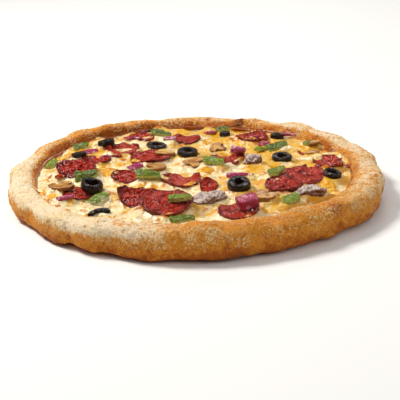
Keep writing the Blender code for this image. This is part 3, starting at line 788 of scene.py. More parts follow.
def settle_modifiers(piece):
    """Turns what the modifiers make of a piece into its own plain mesh."""
    graph = bpy.context.evaluated_depsgraph_get()
    mesh = bpy.data.meshes.new_from_object(
        piece.evaluated_get(graph), preserve_all_data_layers=True, depsgraph=graph
    )
    piece.modifiers.clear()
    piece.data = mesh
    return piece


def hand_over(piece, slot, *nodes):
    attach(piece, "root")
    if nodes:
        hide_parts(*nodes)


def points_of(mesh):
    points = np.empty(len(mesh.vertices) * 3)
    mesh.vertices.foreach_get("co", points)
    return points.reshape(-1, 3)


def quads_of(mesh):
    quads = np.empty(len(mesh.loops), np.int64)
    mesh.loops.foreach_get("vertex_index", quads)
    return quads.reshape(-1, 4)


def normals_of(points, quads):
    corners = points[quads]
    across = np.cross(corners[:, 2] - corners[:, 0], corners[:, 3] - corners[:, 1])
    total = np.zeros_like(points)
    for corner in range(4):
        np.add.at(total, quads[:, corner], across)
    return total / np.maximum(np.linalg.norm(total, axis=1, keepdims=True), 1e-12)


class Bench:
    """A geometry node tree being made, with named inputs."""

    def __init__(self, name, inputs):
        self.tree = bpy.data.node_groups.new(name, "GeometryNodeTree")
        face = self.tree.interface
        face.new_socket("Geometry", in_out="INPUT", socket_type="NodeSocketGeometry")
        face.new_socket("Geometry", in_out="OUTPUT", socket_type="NodeSocketGeometry")
        self.identifiers = {}
        for label in inputs:
            socket = face.new_socket(label, in_out="INPUT", socket_type="NodeSocketFloat")
            self.identifiers[label] = socket.identifier
        self.start = self.tree.nodes.new("NodeGroupInput")
        self.end = self.tree.nodes.new("NodeGroupOutput")

    def node(self, kind, settings=None, values=None):
        made = self.tree.nodes.new(kind)
        for name, value in (settings or {}).items():
            setattr(made, name, value)
        for name, value in (values or {}).items():
            if isinstance(value, bpy.types.NodeSocket):
                self.tree.links.new(value, made.inputs[name])
            else:
                made.inputs[name].default_value = value
        return made.outputs

    def input(self, label):
        return self.start.outputs[label]

    def math(self, operation, first, second):
        return self.node("ShaderNodeMath", {"operation": operation}, {0: first, 1: second})[0]

    def finish(self, geometry, material):
        real = self.node("GeometryNodeRealizeInstances", values={"Geometry": geometry})
        painted = self.node("GeometryNodeSetMaterial", values={"Geometry": real[0], "Material": material})
        self.tree.links.new(painted[0], self.end.inputs[0])

    def work_on(self, piece, values):
        modifier = piece.modifiers.new(self.tree.name, "NODES")
        modifier.node_group = self.tree
        for label, value in values.items():
            modifier[self.identifiers[label]] = value
        return settle_modifiers(piece)


def dough_bench(material):
    """Lumps and pits of the baked dough, pushed along the surface's own direction."""
    bench = Bench("Baked dough", ("Lump height", "Lump size", "Pit depth", "Pit size"))
    mask = bench.node("GeometryNodeInputNamedAttribute", {"data_type": "FLOAT"}, {"Name": "dough"})[0]
    lump_scale = bench.math("DIVIDE", 1.0, bench.input("Lump size"))
    pit_scale = bench.math("DIVIDE", 1.0, bench.input("Pit size"))
    lumps = bench.node("ShaderNodeTexNoise", values={"Scale": lump_scale, "Detail": 3.0})[0]
    pits = bench.node("ShaderNodeTexNoise", values={"Scale": pit_scale, "Detail": 2.0, "Roughness": 0.6})[0]
    lump_push = bench.math("MULTIPLY", bench.math("SUBTRACT", lumps, 0.5), bench.input("Lump height"))
    pit_push = bench.math("MULTIPLY", bench.math("SUBTRACT", pits, 0.5), bench.input("Pit depth"))
    push = bench.math("MULTIPLY", bench.math("ADD", lump_push, pit_push), mask)
    push = bench.math("MULTIPLY", push, 3.0)
    normal = bench.node("GeometryNodeInputNormal")[0]
    offset = bench.node("ShaderNodeVectorMath", {"operation": "SCALE"}, {0: normal, "Scale": push})[0]
    moved = bench.node(
        "GeometryNodeSetPosition", values={"Geometry": bench.start.outputs[0], "Offset": offset}
    )
    bench.finish(moved[0], material)
    return bench


def grain_bench(material):
    """Grains scattered over the crust where it is dusted."""
    bench = Bench("Scattered grains", ("Grain size", "Grains per square metre"))
    dusted = bench.node("GeometryNodeInputNamedAttribute", {"data_type": "FLOAT"}, {"Name": "dusted"})[0]
    thick = bench.math("MULTIPLY", dusted, bench.input("Grains per square metre"))
    spread = bench.node(
        "GeometryNodeDistributePointsOnFaces",
        values={"Mesh": bench.start.outputs[0], "Density": thick, "Seed": 11},
    )
    grain = bench.node("GeometryNodeMeshIcoSphere", values={"Radius": 0.5, "Subdivisions": 1})[0]
    turn = bench.node(
        "FunctionNodeRandomValue", {"data_type": "FLOAT_VECTOR"}, {"Max": (6.28, 6.28, 6.28), "Seed": 3}
    )[0]
    wide = bench.node(
        "FunctionNodeRandomValue", {"data_type": "FLOAT_VECTOR"},
        {"Min": (0.7, 0.5, 0.4), "Max": (1.5, 1.0, 0.8), "Seed": 5},
    )[0]
    size = bench.node(
        "ShaderNodeVectorMath", {"operation": "SCALE"}, {0: wide, "Scale": bench.input("Grain size")}
    )[0]
    placed = bench.node(
        "GeometryNodeInstanceOnPoints",
        values={"Points": spread[0], "Instance": grain, "Rotation": turn, "Scale": size},
    )
    bench.finish(placed[0], material)
    return bench


def crust_sections():
    """Radius and height of the solid crust's sections, each from the base over the crest and down inside."""
    mesh = merged_copy("crust")
    points = np.array([vertex.co for vertex in mesh.verts])
    mesh.free()
    radius = np.hypot(points[:, 0], points[:, 1])
    rim = radius > RIM_FROM * MM
    points, radius = points[rim], radius[rim]
    turn = np.arctan2(points[:, 1], points[:, 0]) / math.tau
    column = np.round(turn * CRUST_SECTIONS).astype(int) % CRUST_SECTIONS
    rows = []
    for index in range(CRUST_SECTIONS):
        here = column == index
        out, up = radius[here], points[here, 2]
        if len(out) != SECTION_POINTS:
            raise RuntimeError(f"section {index} of the crust has {len(out)} points")
        tilt = np.degrees(np.arctan2(up - MIDDLE_UP * MM, out - (out.max() - MIDDLE_IN * MM)))
        order = np.argsort((tilt + ORDER_FROM) % 360)
        rows.append(np.stack([out[order], up[order]], axis=1))
    return np.array(rows)


def crust_rings():
    """Rings of the dressed crust as radius and height, drawn finer than the solid's."""
    columns = smooth_rows(crust_sections(), STEPS_AROUND, closed=True)
    rows = columns.transpose(1, 0, 2)
    fine = smooth_rows(rows[1:-1], STEPS_ACROSS, closed=False)
    return np.concatenate([rows[:1], fine, rows[-1:]])


def wall_radius(angle):
    """Radius of the crust's inner wall at the height of the cheese."""
    rings = crust_rings()[1:-1]
    crest = rings[:, :, 1].argmax(axis=0)
    found = []
    for column in range(rings.shape[1]):
        side = rings[crest[column] :, column]
        found.append(np.interp(-CHEESE_AT_WALL * MM, -side[:, 1], side[:, 0]))
    at = (angle % math.tau) / math.tau * len(found)
    return np.interp(at, np.arange(len(found) + 1), found + found[:1])


def crust_form():
    """Points and faces of the crust, each point's share of the way round its section, and the crest there."""
    rings = crust_rings()
    levels, columns = rings.shape[:2]
    angle = np.arange(columns) * math.tau / columns
    x, y = rings[:, :, 0] * np.cos(angle), rings[:, :, 0] * np.sin(angle)
    points = np.stack([x, y, rings[:, :, 1]], axis=2).reshape(-1, 3)
    points = np.concatenate([points, [[0, 0, 0], [0, 0, rings[-1, 0, 1]]]])
    first = np.arange(columns)
    second = np.roll(first, -1)
    faces = []
    for level in range(levels - 1):
        faces += band(level * columns + first, (level + 1) * columns + first)
    bottom, top, last = len(points) - 2, len(points) - 1, (levels - 1) * columns
    faces += [[bottom, j, i] for i, j in zip(first.tolist(), second.tolist())]
    faces += [[last + i, last + j, top] for i, j in zip(first.tolist(), second.tolist())]
    around_section = np.append(np.repeat(np.linspace(0, 1, levels), columns), [0.0, 1.0])
    crest_height = np.append(np.tile(rings[:, :, 1].max(axis=0) - 1.5 * MM, levels), [0.0, 0.0])
    return points, faces, around_section, crest_height


def bake(points, around_section, crest_height):
    """Raises the blisters, and says how floury, toasted, doughy and dusted each point of the crust is. The
    floury and toasted marks also carry painted shade on the inner wall and at the foot of the outer wall.
    """
    height = points[:, 2] / MM
    turn = np.arctan2(points[:, 1], points[:, 0])
    outside = 1 - smooth(0.42, 0.60, around_section)
    inside = smooth(0.67, 0.82, around_section) * (1 - smooth(0.97, 1.0, around_section))
    crest = smooth(11, 21, height)
    wide = lumps_at(points, 22, 2)
    # Painted shade: the inner wall is made less floury.
    floury = around(FLOURY_AT, turn) * (0.30 + 0.70 * crest) + 0.10 * wide - 0.65 * inside
    toasted = around(TOASTED_AT, turn) * (0.45 + 0.35 * (1 - crest))
    # Darker towards the foot of the outer wall: partly a browner baked foot, partly painted shade near the
    # floor.
    toasted += outside * (1 - smooth(2, 17, height)) * (0.62 + 0.3 * wide)
    # Painted shade on the inner wall, strongest towards the back left.
    toasted += inside * (0.50 + 0.45 * np.clip(np.sin(turn - 0.5), 0, 1))
    lift = np.zeros(len(points))
    for x_at, y_at, width, rise, dark in BLISTERS:
        away = np.hypot(points[:, 0] - x_at * MM, points[:, 1] - y_at * MM)
        away = np.hypot(away, 0.8 * (points[:, 2] - crest_height)) / (width * MM / 2)
        bell = np.exp(-(away**2) * (1 + 0.8 * lumps_at(points, 5, 8)))
        lift += bell * rise * MM
        toasted += bell * dark
    points[:, 2] += lift
    dough = smooth(0.4, 3.0, height) * (1 - smooth(0.93, 0.98, around_section))
    dusted = smooth(7, 20, height) * (1 - smooth(0.80, 0.92, around_section))
    dusted *= 0.15 + 0.85 * smooth(-0.25, 0.45, lumps_at(points, 9, 5) + 0.5 * wide)
    return {"floury": floury, "toasted": toasted, "dough": dough, "dusted": dusted}


class PIZZA_OT_crust(bpy.types.Operator):
    """Make the baked rim and the bread under the cheese"""

    bl_idname = "pizza.crust"
    bl_label = "Crust"

    def execute(self, context):
        settings = context.scene.pizza_crust
        points, faces, around_section, crest_height = crust_form()
        marks = bake(points, around_section, crest_height)
        piece = new_piece("baked_crust", points, faces, marks, None)
        values = {
            "Lump height": settings.lump_height,
            "Lump size": settings.lump_size,
            "Pit depth": settings.pit_depth,
            "Pit size": settings.pit_size,
        }
        dough_bench(crust_finish(settings)).work_on(piece, values)
        piece.data.shade_smooth()
        grains = bpy.data.objects.new("semolina_grains", piece.data.copy())
        context.scene.collection.objects.link(grains)
        values = {"Grain size": settings.grain_size, "Grains per square metre": settings.grain_count}
        grain_bench(grain_finish(settings)).work_on(grains, values)
        grains.data.shade_smooth()
        hand_over(piece, "baked_bread", "crust")
        hand_over(grains, "baked_bread")
        return {"FINISHED"}


def finer(mesh, levels, sharpness):
    """Points and quads of a solid's mesh, subdivided. A sharpness of 1 keeps its own faces and corners."""
    bmesh.ops.join_triangles(mesh, faces=mesh.faces[:], angle_face_threshold=0.6, angle_shape_threshold=1.2)
    crease = mesh.edges.layers.float.new("crease_edge")
    for edge in mesh.edges:
        if len(edge.link_faces) == 2:
            edge[crease] = sharpness * float(smooth(0.4, 1.1, np.array(edge.calc_face_angle(0.0))))
    data = bpy.data.meshes.new("working")
    mesh.to_mesh(data)
    mesh.free()
    helper = bpy.data.objects.new("working", data)
    bpy.context.scene.collection.objects.link(helper)
    modifier = helper.modifiers.new("Finer", "SUBSURF")
    modifier.levels = modifier.render_levels = levels
    modifier.subdivision_type = "SIMPLE" if sharpness == 1 else "CATMULL_CLARK"
    settle_modifiers(helper)
    points, quads = points_of(helper.data), quads_of(helper.data)
    bpy.data.objects.remove(helper, do_unlink=True)
    return points, quads


def loose_bit(row, ground):
    """A small strip of food lying on what is under it."""
    x, y, length, width, thick, turn, bend = row
    mesh = bmesh.new()
    rings = []
    spin = Matrix.Rotation(math.radians(turn), 3, "Z")
    along = np.linspace(-0.5, 0.5, BIT_STATIONS + 1) * length
    east, north = x + along * math.cos(math.radians(turn)), y + along * math.sin(math.radians(turn))
    heights = heights_down(ground, east * MM, north * MM) / MM
    if np.isnan(heights).all():
        raise RuntimeError(f"nothing lies under the loose bit at {x}, {y}")
    base = float(np.nanmean(heights) + np.nanmax(heights)) / 2
    for step in range(BIT_STATIONS + 1):
        share = step / BIT_STATIONS * 2 - 1
        slim = (1 - 0.75 * share**4) * width / 2
        arc = bend * length * 0.35 * (share**2 - 0.4)
        rise = base + 0.4 * math.cos(3 * share)
        ring = []
        for side, up in ((-1, 0), (1, 0), (1, 1), (-1, 1)):
            at = spin @ Vector((share * length / 2, side * slim + arc, 0))
            height = rise - 0.4 + up * thick * (0.7 + 0.3 * (1 - share**2))
            ring.append(mesh.verts.new(((x + at.x) * MM, (y + at.y) * MM, height * MM)))
        rings.append(ring)
    for low, high in zip(rings, rings[1:]):
        for k in range(4):
            n = (k + 1) % 4
            mesh.faces.new((low[k], high[k], high[n], low[n]))
    mesh.faces.new(rings[0])
    mesh.faces.new(rings[-1][::-1])
    bmesh.ops.recalc_face_normals(mesh, faces=mesh.faces[:])
    return mesh


def worked(kind, points, quads, number):
    """One slice or lump of a topping, made uneven, with what its finish needs at each point."""
    _, height, size, _ = WORKING[kind]
    centre = points.mean(axis=0)
    spread = points - centre
    axes = np.linalg.svd(spread, full_matrices=False)[2]
    up = axes[2] * (1 if axes[2, 2] >= 0 else -1)
    normals = normals_of(points, quads)
    flat = spread - np.outer(spread @ up, up)
    reach = np.linalg.norm(flat, axis=1)
    rim = reach / reach.max()
    face = normals @ up
    push = lumps_at(points, size, number) + 0.45 * lumps_at(points, size * 0.45, number + 40)
    if kind == "pepperoni":
        wavy = lumps_at(points, 7, number + 9)
        points = points + flat * (WAVY_OUTLINE * wavy * smooth(0.55, 0.95, rim))[:, None]
        rise = lumps_at(points, 10, number + 70) * smooth(0.3, 0.9, rim)
        points = points + np.outer(WAVY_RISE * MM * rise, up)
    points = points + normals * (push * height * MM)[:, None]
    tone = np.full(len(points), (number * 0.618) % 1.0)
    return points, {"rim": rim, "face": face, "tone": tone}


def make_topping(kind):
    """Every slice or lump of one topping, and its loose bits, as one piece."""
    ground = tree_of(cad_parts.values())
    nodes = nodes_of(kind)
    meshes = [merged_copy(node) for node in nodes]
    meshes += [loose_bit(row, ground) for row in BITS[kind]]
    levels, _, _, sharpness = WORKING[kind]
    all_points, all_quads, all_marks, total = [], [], {"rim": [], "face": [], "tone": []}, 0
    for number, mesh in enumerate(meshes):
        radii = [vertex.co.xy.length for vertex in mesh.verts]
        narrow = kind == "pepperoni" and max(radii) - min(radii) < SMALL_SLICE * MM
        small = number >= len(nodes) or narrow
        points, quads = finer(mesh, SMALL_LEVELS if small else levels, sharpness)
        points, marks = worked(kind, points, quads, number)
        all_points.append(points)
        all_quads.append(quads + total)
        total += len(points)
        for name, values in marks.items():
            all_marks[name].append(values)
    marks = {name: np.concatenate(values) for name, values in all_marks.items()}
    quads = np.concatenate(all_quads).tolist()
    material = FINISHES[kind](bpy.context.scene.pizza_toppings)
    piece = new_piece(kind + "_pieces", np.concatenate(all_points), quads, marks, material)
    hand_over(piece, SLOTS[kind], *nodes)


class PIZZA_OT_pepperoni(bpy.types.Operator):
    """Make the curled slices of pepperoni"""

    bl_idname = "pizza.pepperoni"
    bl_label = "Pepperoni"

    def execute(self, context):
        make_topping("pepperoni")
        return {"FINISHED"}


class PIZZA_OT_mushroom(bpy.types.Operator):
    """Make the mushroom slices"""

    bl_idname = "pizza.mushroom"
    bl_label = "Mushroom"

    def execute(self, context):
        make_topping("mushroom")
        return {"FINISHED"}


class PIZZA_OT_sausage(bpy.types.Operator):
    """Make the lumps of sausage"""

    bl_idname = "pizza.sausage"
    bl_label = "Sausage"

    def execute(self, context):
        make_topping("sausage")
        return {"FINISHED"}


class PIZZA_OT_pepper(bpy.types.Operator):
    """Make the chopped green pepper"""

    bl_idname = "pizza.pepper"
    bl_label = "Green pepper"

    def execute(self, context):
        make_topping("pepper")
        return {"FINISHED"}


class PIZZA_OT_onion(bpy.types.Operator):
    """Make the slivers of red onion"""

    bl_idname = "pizza.onion"
    bl_label = "Red onion"

    def execute(self, context):
        make_topping("onion")
        return {"FINISHED"}


class PIZZA_OT_olive(bpy.types.Operator):
    """Make the sliced olives"""

    bl_idname = "pizza.olive"
    bl_label = "Black olives"

    def execute(self, context):
        make_topping("olive")
        return {"FINISHED"}


def disc_grid(cells):
    """A square grid drawn to a round one of radius 1, so that its cells stay even."""
    line = np.linspace(-1, 1, cells + 1)
    u, v = np.meshgrid(line, line, indexing="ij")
    return u * np.sqrt(1 - v * v / 2), v * np.sqrt(1 - u * u / 2)


def softened(field, times):
    """The field with each value drawn towards its neighbours."""
    for _ in range(times):
        wide = np.pad(field, 1, mode="edge")
        beside = wide[:-2, 1:-1] + wide[2:, 1:-1] + wide[1:-1, :-2] + wide[1:-1, 2:]
        field = (field * 2 + beside) / 6
    return field


def skirted(field, slope, times):
    """The field raised so that it falls away from its high places no faster than the slope."""
    for _ in range(times):
        wide = np.pad(field, 1, mode="edge")
        best = np.maximum.reduce([wide[:-2, 1:-1], wide[2:, 1:-1], wide[1:-1, :-2], wide[1:-1, 2:]])
        field = np.maximum(field, best - slope)
    return field


def cheese_places():
    """Places of the cheese's grid, their share of the way to the wall, and the solid's own height there."""
    u, v = disc_grid(CHEESE_CELLS)
    turn, share = np.arctan2(v, u), np.hypot(u, v)
    edge = wall_radius(turn.ravel()).reshape(turn.shape) + CHEESE_TUCK * MM
    x, y = np.cos(turn) * share * edge, np.sin(turn) * share * edge
    inner = np.minimum(share, 0.965) / np.maximum(share, 1e-6)
    base = heights_down(tree_of([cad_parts["cheese"]]), x * inner, y * inner)
    return x, y, share, softened(np.where(np.isnan(base), np.nanmean(base), base), 6)


def lapped(x, y, base, height, covered, lumps):
    """The cheese's height where it laps over the low edges of thin toppings, and where it does so."""
    over = heights_down(tree_of(solids_of(*LAPPED_KINDS)), x, y)
    inside = softened(covered.astype(float), 10)
    patchy = lumps(9, 61) * 0.9 + lumps(5, 62) * 0.5 - LAP_LESS - 1.5 * (inside - 0.5)
    low = np.nan_to_num(over - base, nan=1.0) < MOST_LAP * MM
    lap = np.nan_to_num(over) + (0.2 + 2.2 * np.minimum(patchy, 0.5)) * MM
    lapping = covered & low & (patchy > 0)
    height = np.where(lapping, np.maximum(lap, height), height)
    return np.where(lapping | ~covered, softened(height, 2), height), lapping


def cheese_field():
    """The cheese's top: the solid's with melted lumps, risen to the toppings, and where it is oily."""
    x, y, share, base = cheese_places()
    places = np.stack([x.ravel(), y.ravel(), np.zeros(x.size)], axis=1)

    def lumps(size, seed):
        return lumps_at(places, size, seed).reshape(x.shape)

    uneven = lumps(16, 1) * 1.4 + lumps(9, 2) * 1.3 + lumps(5.5, 3) * 0.45
    uneven += (0.4 - np.abs(lumps(11, 5))) * 1.2
    uneven *= bpy.context.scene.pizza_cheese.lump_height
    height = base + uneven
    under = heights_up(tree_of(solids_of(*KINDS)), x, y)
    covered = ~np.isnan(under)
    limit = base + (MOST_RISE + 2.0 * lumps(9, 6)) * MM
    met = np.where(covered, np.minimum(np.nan_to_num(under) + UNDER_TOPPING * MM, limit), -1.0)
    risen = skirted(met, SKIRT_SLOPE * MM, 12)
    open_top = softened(np.maximum(height, risen), 4) + 0.3 * uneven
    height = np.where(covered, np.maximum(met, height), open_top)
    close_by = -skirted(np.where(covered, -height, -1.0), EDGE_SLOPE * MM, 4)
    height = np.where(covered, height, np.minimum(height, close_by))
    height, lapping = lapped(x, y, base, height, covered, lumps)
    edges = softened(covered.astype(float), 2)
    edges = (edges > 0.02) & (edges < 0.98) & ~lapping
    height = np.where(edges, softened(height, 6), height)
    height = height + smooth(0.975, 1.0, share) * (0.9 + 0.9 * lumps(12, 7)) * MM
    meat = heights_down(tree_of(solids_of("pepperoni")), x, y)
    oily = softened((~np.isnan(meat)).astype(float), 26)
    return x, y, height, share, oily


def grid_faces(cells):
    index = np.arange((cells + 1) ** 2).reshape(cells + 1, cells + 1)
    return np.stack([index[:-1, :-1], index[1:, :-1], index[1:, 1:], index[:-1, 1:]], axis=2).reshape(-1, 4)


def grid_border(cells):
    """Indices round the grid's border, counterclockwise."""
    index = np.arange((cells + 1) ** 2).reshape(cells + 1, cells + 1)
    return np.concatenate([index[:-1, 0], index[-1, :-1], index[:0:-1, -1], index[0, :0:-1]])


class PIZZA_OT_cheese(bpy.types.Operator):
    """Make the melted cheese from wall to wall"""

    bl_idname = "pizza.cheese"
    bl_label = "Cheese"

    def execute(self, context):
        x, y, height, share, oily = cheese_field()
        top = np.stack([x.ravel(), y.ravel(), height.ravel()], axis=1)
        faces = grid_faces(CHEESE_CELLS).tolist()
        border = grid_border(CHEESE_CELLS)
        skirt = top[border].copy()
        skirt[:, 2] = CHEESE_UNDERSIDE * MM
        points = np.concatenate([top, skirt, [[0, 0, CHEESE_UNDERSIDE * MM]]])
        low = len(top) + np.arange(len(border))
        faces += band(low, border)
        middle = len(points) - 1
        faces += [[middle, j, i] for i, j in zip(low.tolist(), np.roll(low, -1).tolist())]
        wide = lumps_at(points, 15, 21)
        rise = height - softened(height, 60)
        high = np.append(rise.ravel() / MM, np.zeros(len(border) + 1))
        yellow = 0.34 + 0.42 * wide - 0.10 * high
        browned = 0.16 + 0.26 * lumps_at(points, 13, 23) + 0.14 * lumps_at(points, 4, 24)
        browned += 0.12 * np.clip(high, -1, 1.5)
        edge = smooth(0.90, 1.0, np.append(share.ravel(), np.ones(len(border) + 1)))
        browned = browned + edge * (0.20 + 0.20 * np.clip(points[:, 1] / 0.1, -0.5, 1))
        creamy = 0.12 * np.clip((-points[:, 0] - 0.6 * points[:, 1]) / 0.08, -1, 1.5)
        oily = np.append(0.20 + 0.80 * oily.ravel(), np.zeros(len(border) + 1))
        oily += 0.16 * lumps_at(points, 8, 25)
        marks = {"yellow": yellow, "browned": browned, "creamy": creamy, "oily": oily}
        material = cheese_finish(context.scene.pizza_cheese)
        piece = new_piece("melted_cheese", points, faces, marks, material)
        hand_over(piece, "melted_cheese", "cheese")
        return {"FINISHED"}


class PIZZA_OT_sauce(bpy.types.Operator):
    """Make the thin line of sauce between the cheese and the rim"""

    bl_idname = "pizza.sauce"
    bl_label = "Sauce"

    def execute(self, context):
        settings = context.scene.pizza_cheese
        turn = np.arange(SAUCE_STEPS) * math.tau / SAUCE_STEPS
        rim = np.stack([np.cos(turn), np.sin(turn), 0 * turn], axis=1) * SAUCE_RADIUS * MM
        uneven = lumps_at(rim, 14, 31)
        radius = wall_radius(turn) + (0.1 + 0.5 * lumps_at(rim, 9, 33)) * MM
        height = (SAUCE_HEIGHT + 1.5 * uneven + 0.5 * np.sin(turn)) * MM
        thick = settings.sauce_width / 2 * (1 + 0.35 * lumps_at(rim, 7, 32))
        points, faces = [], []
        for side in range(SAUCE_SIDES):
            tilt = math.tau * side / SAUCE_SIDES
            out = radius + thick * math.cos(tilt)
            up = height + thick * 0.8 * math.sin(tilt)
            points.append(np.stack([out * np.cos(turn), out * np.sin(turn), up], axis=1))
        ring = np.arange(SAUCE_STEPS)
        for side in range(SAUCE_SIDES):
            after = (side + 1) % SAUCE_SIDES
            faces += band(side * SAUCE_STEPS + ring, after * SAUCE_STEPS + ring)
        piece = new_piece("sauce_line", np.concatenate(points), faces, {}, sauce_finish(settings))
        hand_over(piece, "melted_cheese")
        return {"FINISHED"}


def melt(row, number, ground):
    """A patch of cheese draped over what lies there, closed underneath."""
    x, y, length, width, turn, thick, yellow, browned = row
    rings, spokes = MELT_RINGS, MELT_SPOKES
    angle = np.arange(spokes) * math.tau / spokes
    round_ = np.stack([np.cos(angle), np.sin(angle), np.full(spokes, number * 1.7)], axis=1)
    ragged = 1 + 0.30 * lumps_at(round_, 900, 51) + 0.16 * lumps_at(round_, 350, 52)
    spin = math.radians(turn)
    rows_x, rows_y, share = [x], [y], [0.0]
    for ring in range(1, rings + 1):
        at = ring / rings
        along = at * ragged * np.cos(angle) * length * 0.58
        across = at * ragged * np.sin(angle) * width * 0.58
        rows_x += (x + along * math.cos(spin) - across * math.sin(spin)).tolist()
        rows_y += (y + along * math.sin(spin) + across * math.cos(spin)).tolist()
        share += [at] * spokes
    px, py, share = np.array(rows_x) * MM, np.array(rows_y) * MM, np.array(share)
    lie = heights_down(ground, px, py)
    if np.isnan(lie[0]):
        raise RuntimeError(f"nothing lies under the melted cheese at {x}, {y}")
    lie = np.where(np.isnan(lie), lie[0], lie)
    lie = np.clip(lie, lie[0] - 3.0 * MM * (0.4 + share), lie[0] + 1.6 * MM * (0.4 + share))
    body = np.clip(1 - share**2, 0, 1) ** 0.8
    lumpy = 1 + 0.3 * lumps_at(np.stack([px, py, lie], axis=1), 2.6, 53)
    top = lie + (0.8 * thick * body * lumpy - 0.5) * MM
    low = lie - 0.7 * MM
    points = np.concatenate([np.stack([px, py, top], axis=1), np.stack([px, py, low], axis=1)])
    count = len(px)
    faces = []
    for k in range(spokes):
        n = (k + 1) % spokes
        faces.append([0, 1 + k, 1 + n])
        faces.append([count, count + 1 + n, count + 1 + k])
        for ring in range(rings - 1):
            a, b = 1 + ring * spokes, 1 + (ring + 1) * spokes
            faces.append([a + k, b + k, b + n, a + n])
            faces.append([count + a + k, count + a + n, count + b + n, count + b + k])
        last = 1 + (rings - 1) * spokes
        faces.append([last + k, count + last + k, count + last + n, last + n])
    brown = 0.15 + 0.45 * browned + 0.15 * lumps_at(np.stack([px, py, lie], axis=1), 3.5, 54)
    return points, faces, np.full(len(points), yellow), np.tile(brown, 2)


class PIZZA_OT_melts(bpy.types.Operator):
    """Make the patches of cheese melted over the toppings"""

    bl_idname = "pizza.melts"
    bl_label = "Melted patches"

    def execute(self, context):
        names = ("melted_cheese", "pepperoni_pieces", "mushroom_pieces")
        ground = tree_of([bpy.data.objects[name] for name in names])
        points, faces, yellow, browned, total = [], [], [], [], 0
        for number, row in enumerate(MELTS):
            more, cells, gold, brown = melt(row, number, ground)
            points.append(more)
            faces += [[total + index for index in cell] for cell in cells]
            yellow.append(gold)
            browned.append(brown)
            total += len(more)
        marks = {"yellow": np.concatenate(yellow), "browned": np.concatenate(browned)}
        material = bpy.data.materials["Melted cheese"]
        piece = new_piece("cheese_melts", np.concatenate(points), faces, marks, material)
        hand_over(piece, "melted_cheese")
        return {"FINISHED"}


def soft_light(name, power, size, place):
    data = bpy.data.lights.new(name, "AREA")
    data.energy = power
    data.shape = "DISK"
    data.size = size
    data.color = LIGHT_COLOUR
    light = bpy.data.objects.new(name, data)
    light.location = place
    light.rotation_euler = (Vector(LIGHT_TARGET) - Vector(place)).to_track_quat("-Z", "Y").to_euler()
    bpy.context.scene.collection.objects.link(light)


def even_light(strength):
    """A white sky, dim near the ground and brighter overhead."""
    world = bpy.data.worlds.new("Even light")
    world.use_nodes = True
    nodes, links = world.node_tree.nodes, world.node_tree.links
    sky = next(node for node in nodes if node.type == "BACKGROUND")
    sky.inputs["Color"].default_value = (1.0, 1.0, 1.0, 1.0)
    apart = nodes.new("ShaderNodeSeparateXYZ")
    links.new(nodes.new("ShaderNodeTexCoord").outputs["Generated"], apart.inputs[0])
    upward = nodes.new("ShaderNodeMapRange")
    upward.inputs["From Min"].default_value = 0.30
    upward.inputs["To Min"].default_value = strength * 0.12
    upward.inputs["To Max"].default_value = strength * 2.6
    links.new(apart.outputs["Z"], upward.inputs["Value"])
    links.new(upward.outputs["Result"], sky.inputs["Strength"])
    return world


def photo_camera(settings):
    data = bpy.data.cameras.new("Photo camera")
    data.sensor_width = CAMERA_SENSOR
    data.lens = CAMERA_LENS
    camera = bpy.data.objects.new("Photo camera", data)
    lift = settings.camera_height
    back = Vector((0.0, -math.cos(lift), math.sin(lift)))
    camera.location = Vector(CAMERA_TARGET) + back * settings.camera_distance
    aim = (-back).to_track_quat("-Z", "Y").to_matrix() @ Matrix.Rotation(settings.camera_roll, 3, "Z")
    camera.rotation_euler = aim.to_euler()
    bpy.context.scene.collection.objects.link(camera)
    return camera


class PIZZA_OT_stage(bpy.types.Operator):
    """Make the pale floor, the soft lights and the camera"""

    bl_idname = "pizza.stage"
    bl_label = "Stage"

    def execute(self, context):
        scene = context.scene
        settings = scene.pizza_stage
        finish = Finish("Pale floor", roughness=0.8)
        material = finish.done(finish.mix(finish.cloud(0.4, 1.0), *FLOOR_TONES))
        corners = np.array([[-6, -6, 0], [6, -6, 0], [6, 6, 0], [-6, 6, 0]], float)
        new_piece("floor", corners, [[0, 1, 2, 3]], {}, material)
        for name, power, size, place in LIGHTS:
            soft_light(name, getattr(settings, power), size, place)
        scene.world = even_light(settings.sky)
        scene.view_settings.view_transform = "Standard"
        bpy.context.scene.camera = photo_camera(settings)
        return {"FINISHED"}


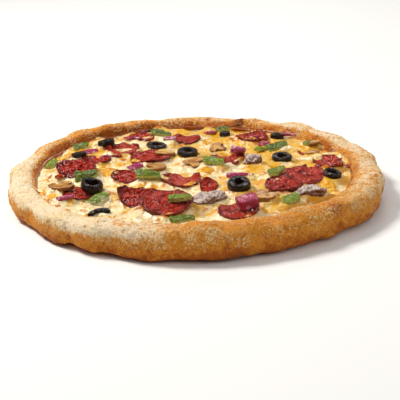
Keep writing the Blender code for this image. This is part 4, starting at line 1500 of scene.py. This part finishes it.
class PIZZA_PT_panel(bpy.types.Panel):
    """Everything that makes up the pizza, in the order of making"""

    bl_idname = "PIZZA_PT_panel"
    bl_label = "Supreme pizza"
    bl_space_type = "VIEW_3D"
    bl_region_type = "UI"
    bl_category = "Pizza"

    def draw(self, context):
        for operator in OPERATORS:
            self.layout.operator(operator.bl_idname)
        for group in ("pizza_crust", "pizza_cheese", "pizza_toppings", "pizza_stage"):
            box = self.layout.box()
            settings = getattr(context.scene, group)
            for name in settings.bl_rna.properties.keys():
                if name not in ("rna_type", "name"):
                    box.prop(settings, name)


OPERATORS = (
    PIZZA_OT_stage,
    PIZZA_OT_crust,
    PIZZA_OT_pepperoni,
    PIZZA_OT_mushroom,
    PIZZA_OT_sausage,
    PIZZA_OT_pepper,
    PIZZA_OT_onion,
    PIZZA_OT_olive,
    PIZZA_OT_cheese,
    PIZZA_OT_sauce,
    PIZZA_OT_melts,
)
SETTINGS = {
    "pizza_crust": CrustSettings,
    "pizza_cheese": CheeseSettings,
    "pizza_toppings": ToppingSettings,
    "pizza_stage": StageSettings,
}


def register():
    for name, group in SETTINGS.items():
        bpy.utils.register_class(group)
        setattr(bpy.types.Scene, name, bpy.props.PointerProperty(type=group))
    for operator in OPERATORS:
        bpy.utils.register_class(operator)
    bpy.utils.register_class(PIZZA_PT_panel)


def unregister():
    bpy.utils.unregister_class(PIZZA_PT_panel)
    for operator in reversed(OPERATORS):
        bpy.utils.unregister_class(operator)
    for name, group in reversed(list(SETTINGS.items())):
        delattr(bpy.types.Scene, name)
        bpy.utils.unregister_class(group)


def main():
    register()
    bpy.ops.pizza.stage()
    bpy.ops.pizza.crust()
    bpy.ops.pizza.pepperoni()
    bpy.ops.pizza.mushroom()
    bpy.ops.pizza.sausage()
    bpy.ops.pizza.pepper()
    bpy.ops.pizza.onion()
    bpy.ops.pizza.olive()
    bpy.ops.pizza.cheese()
    bpy.ops.pizza.sauce()
    bpy.ops.pizza.melts()


if __name__ == "__main__":
    main()
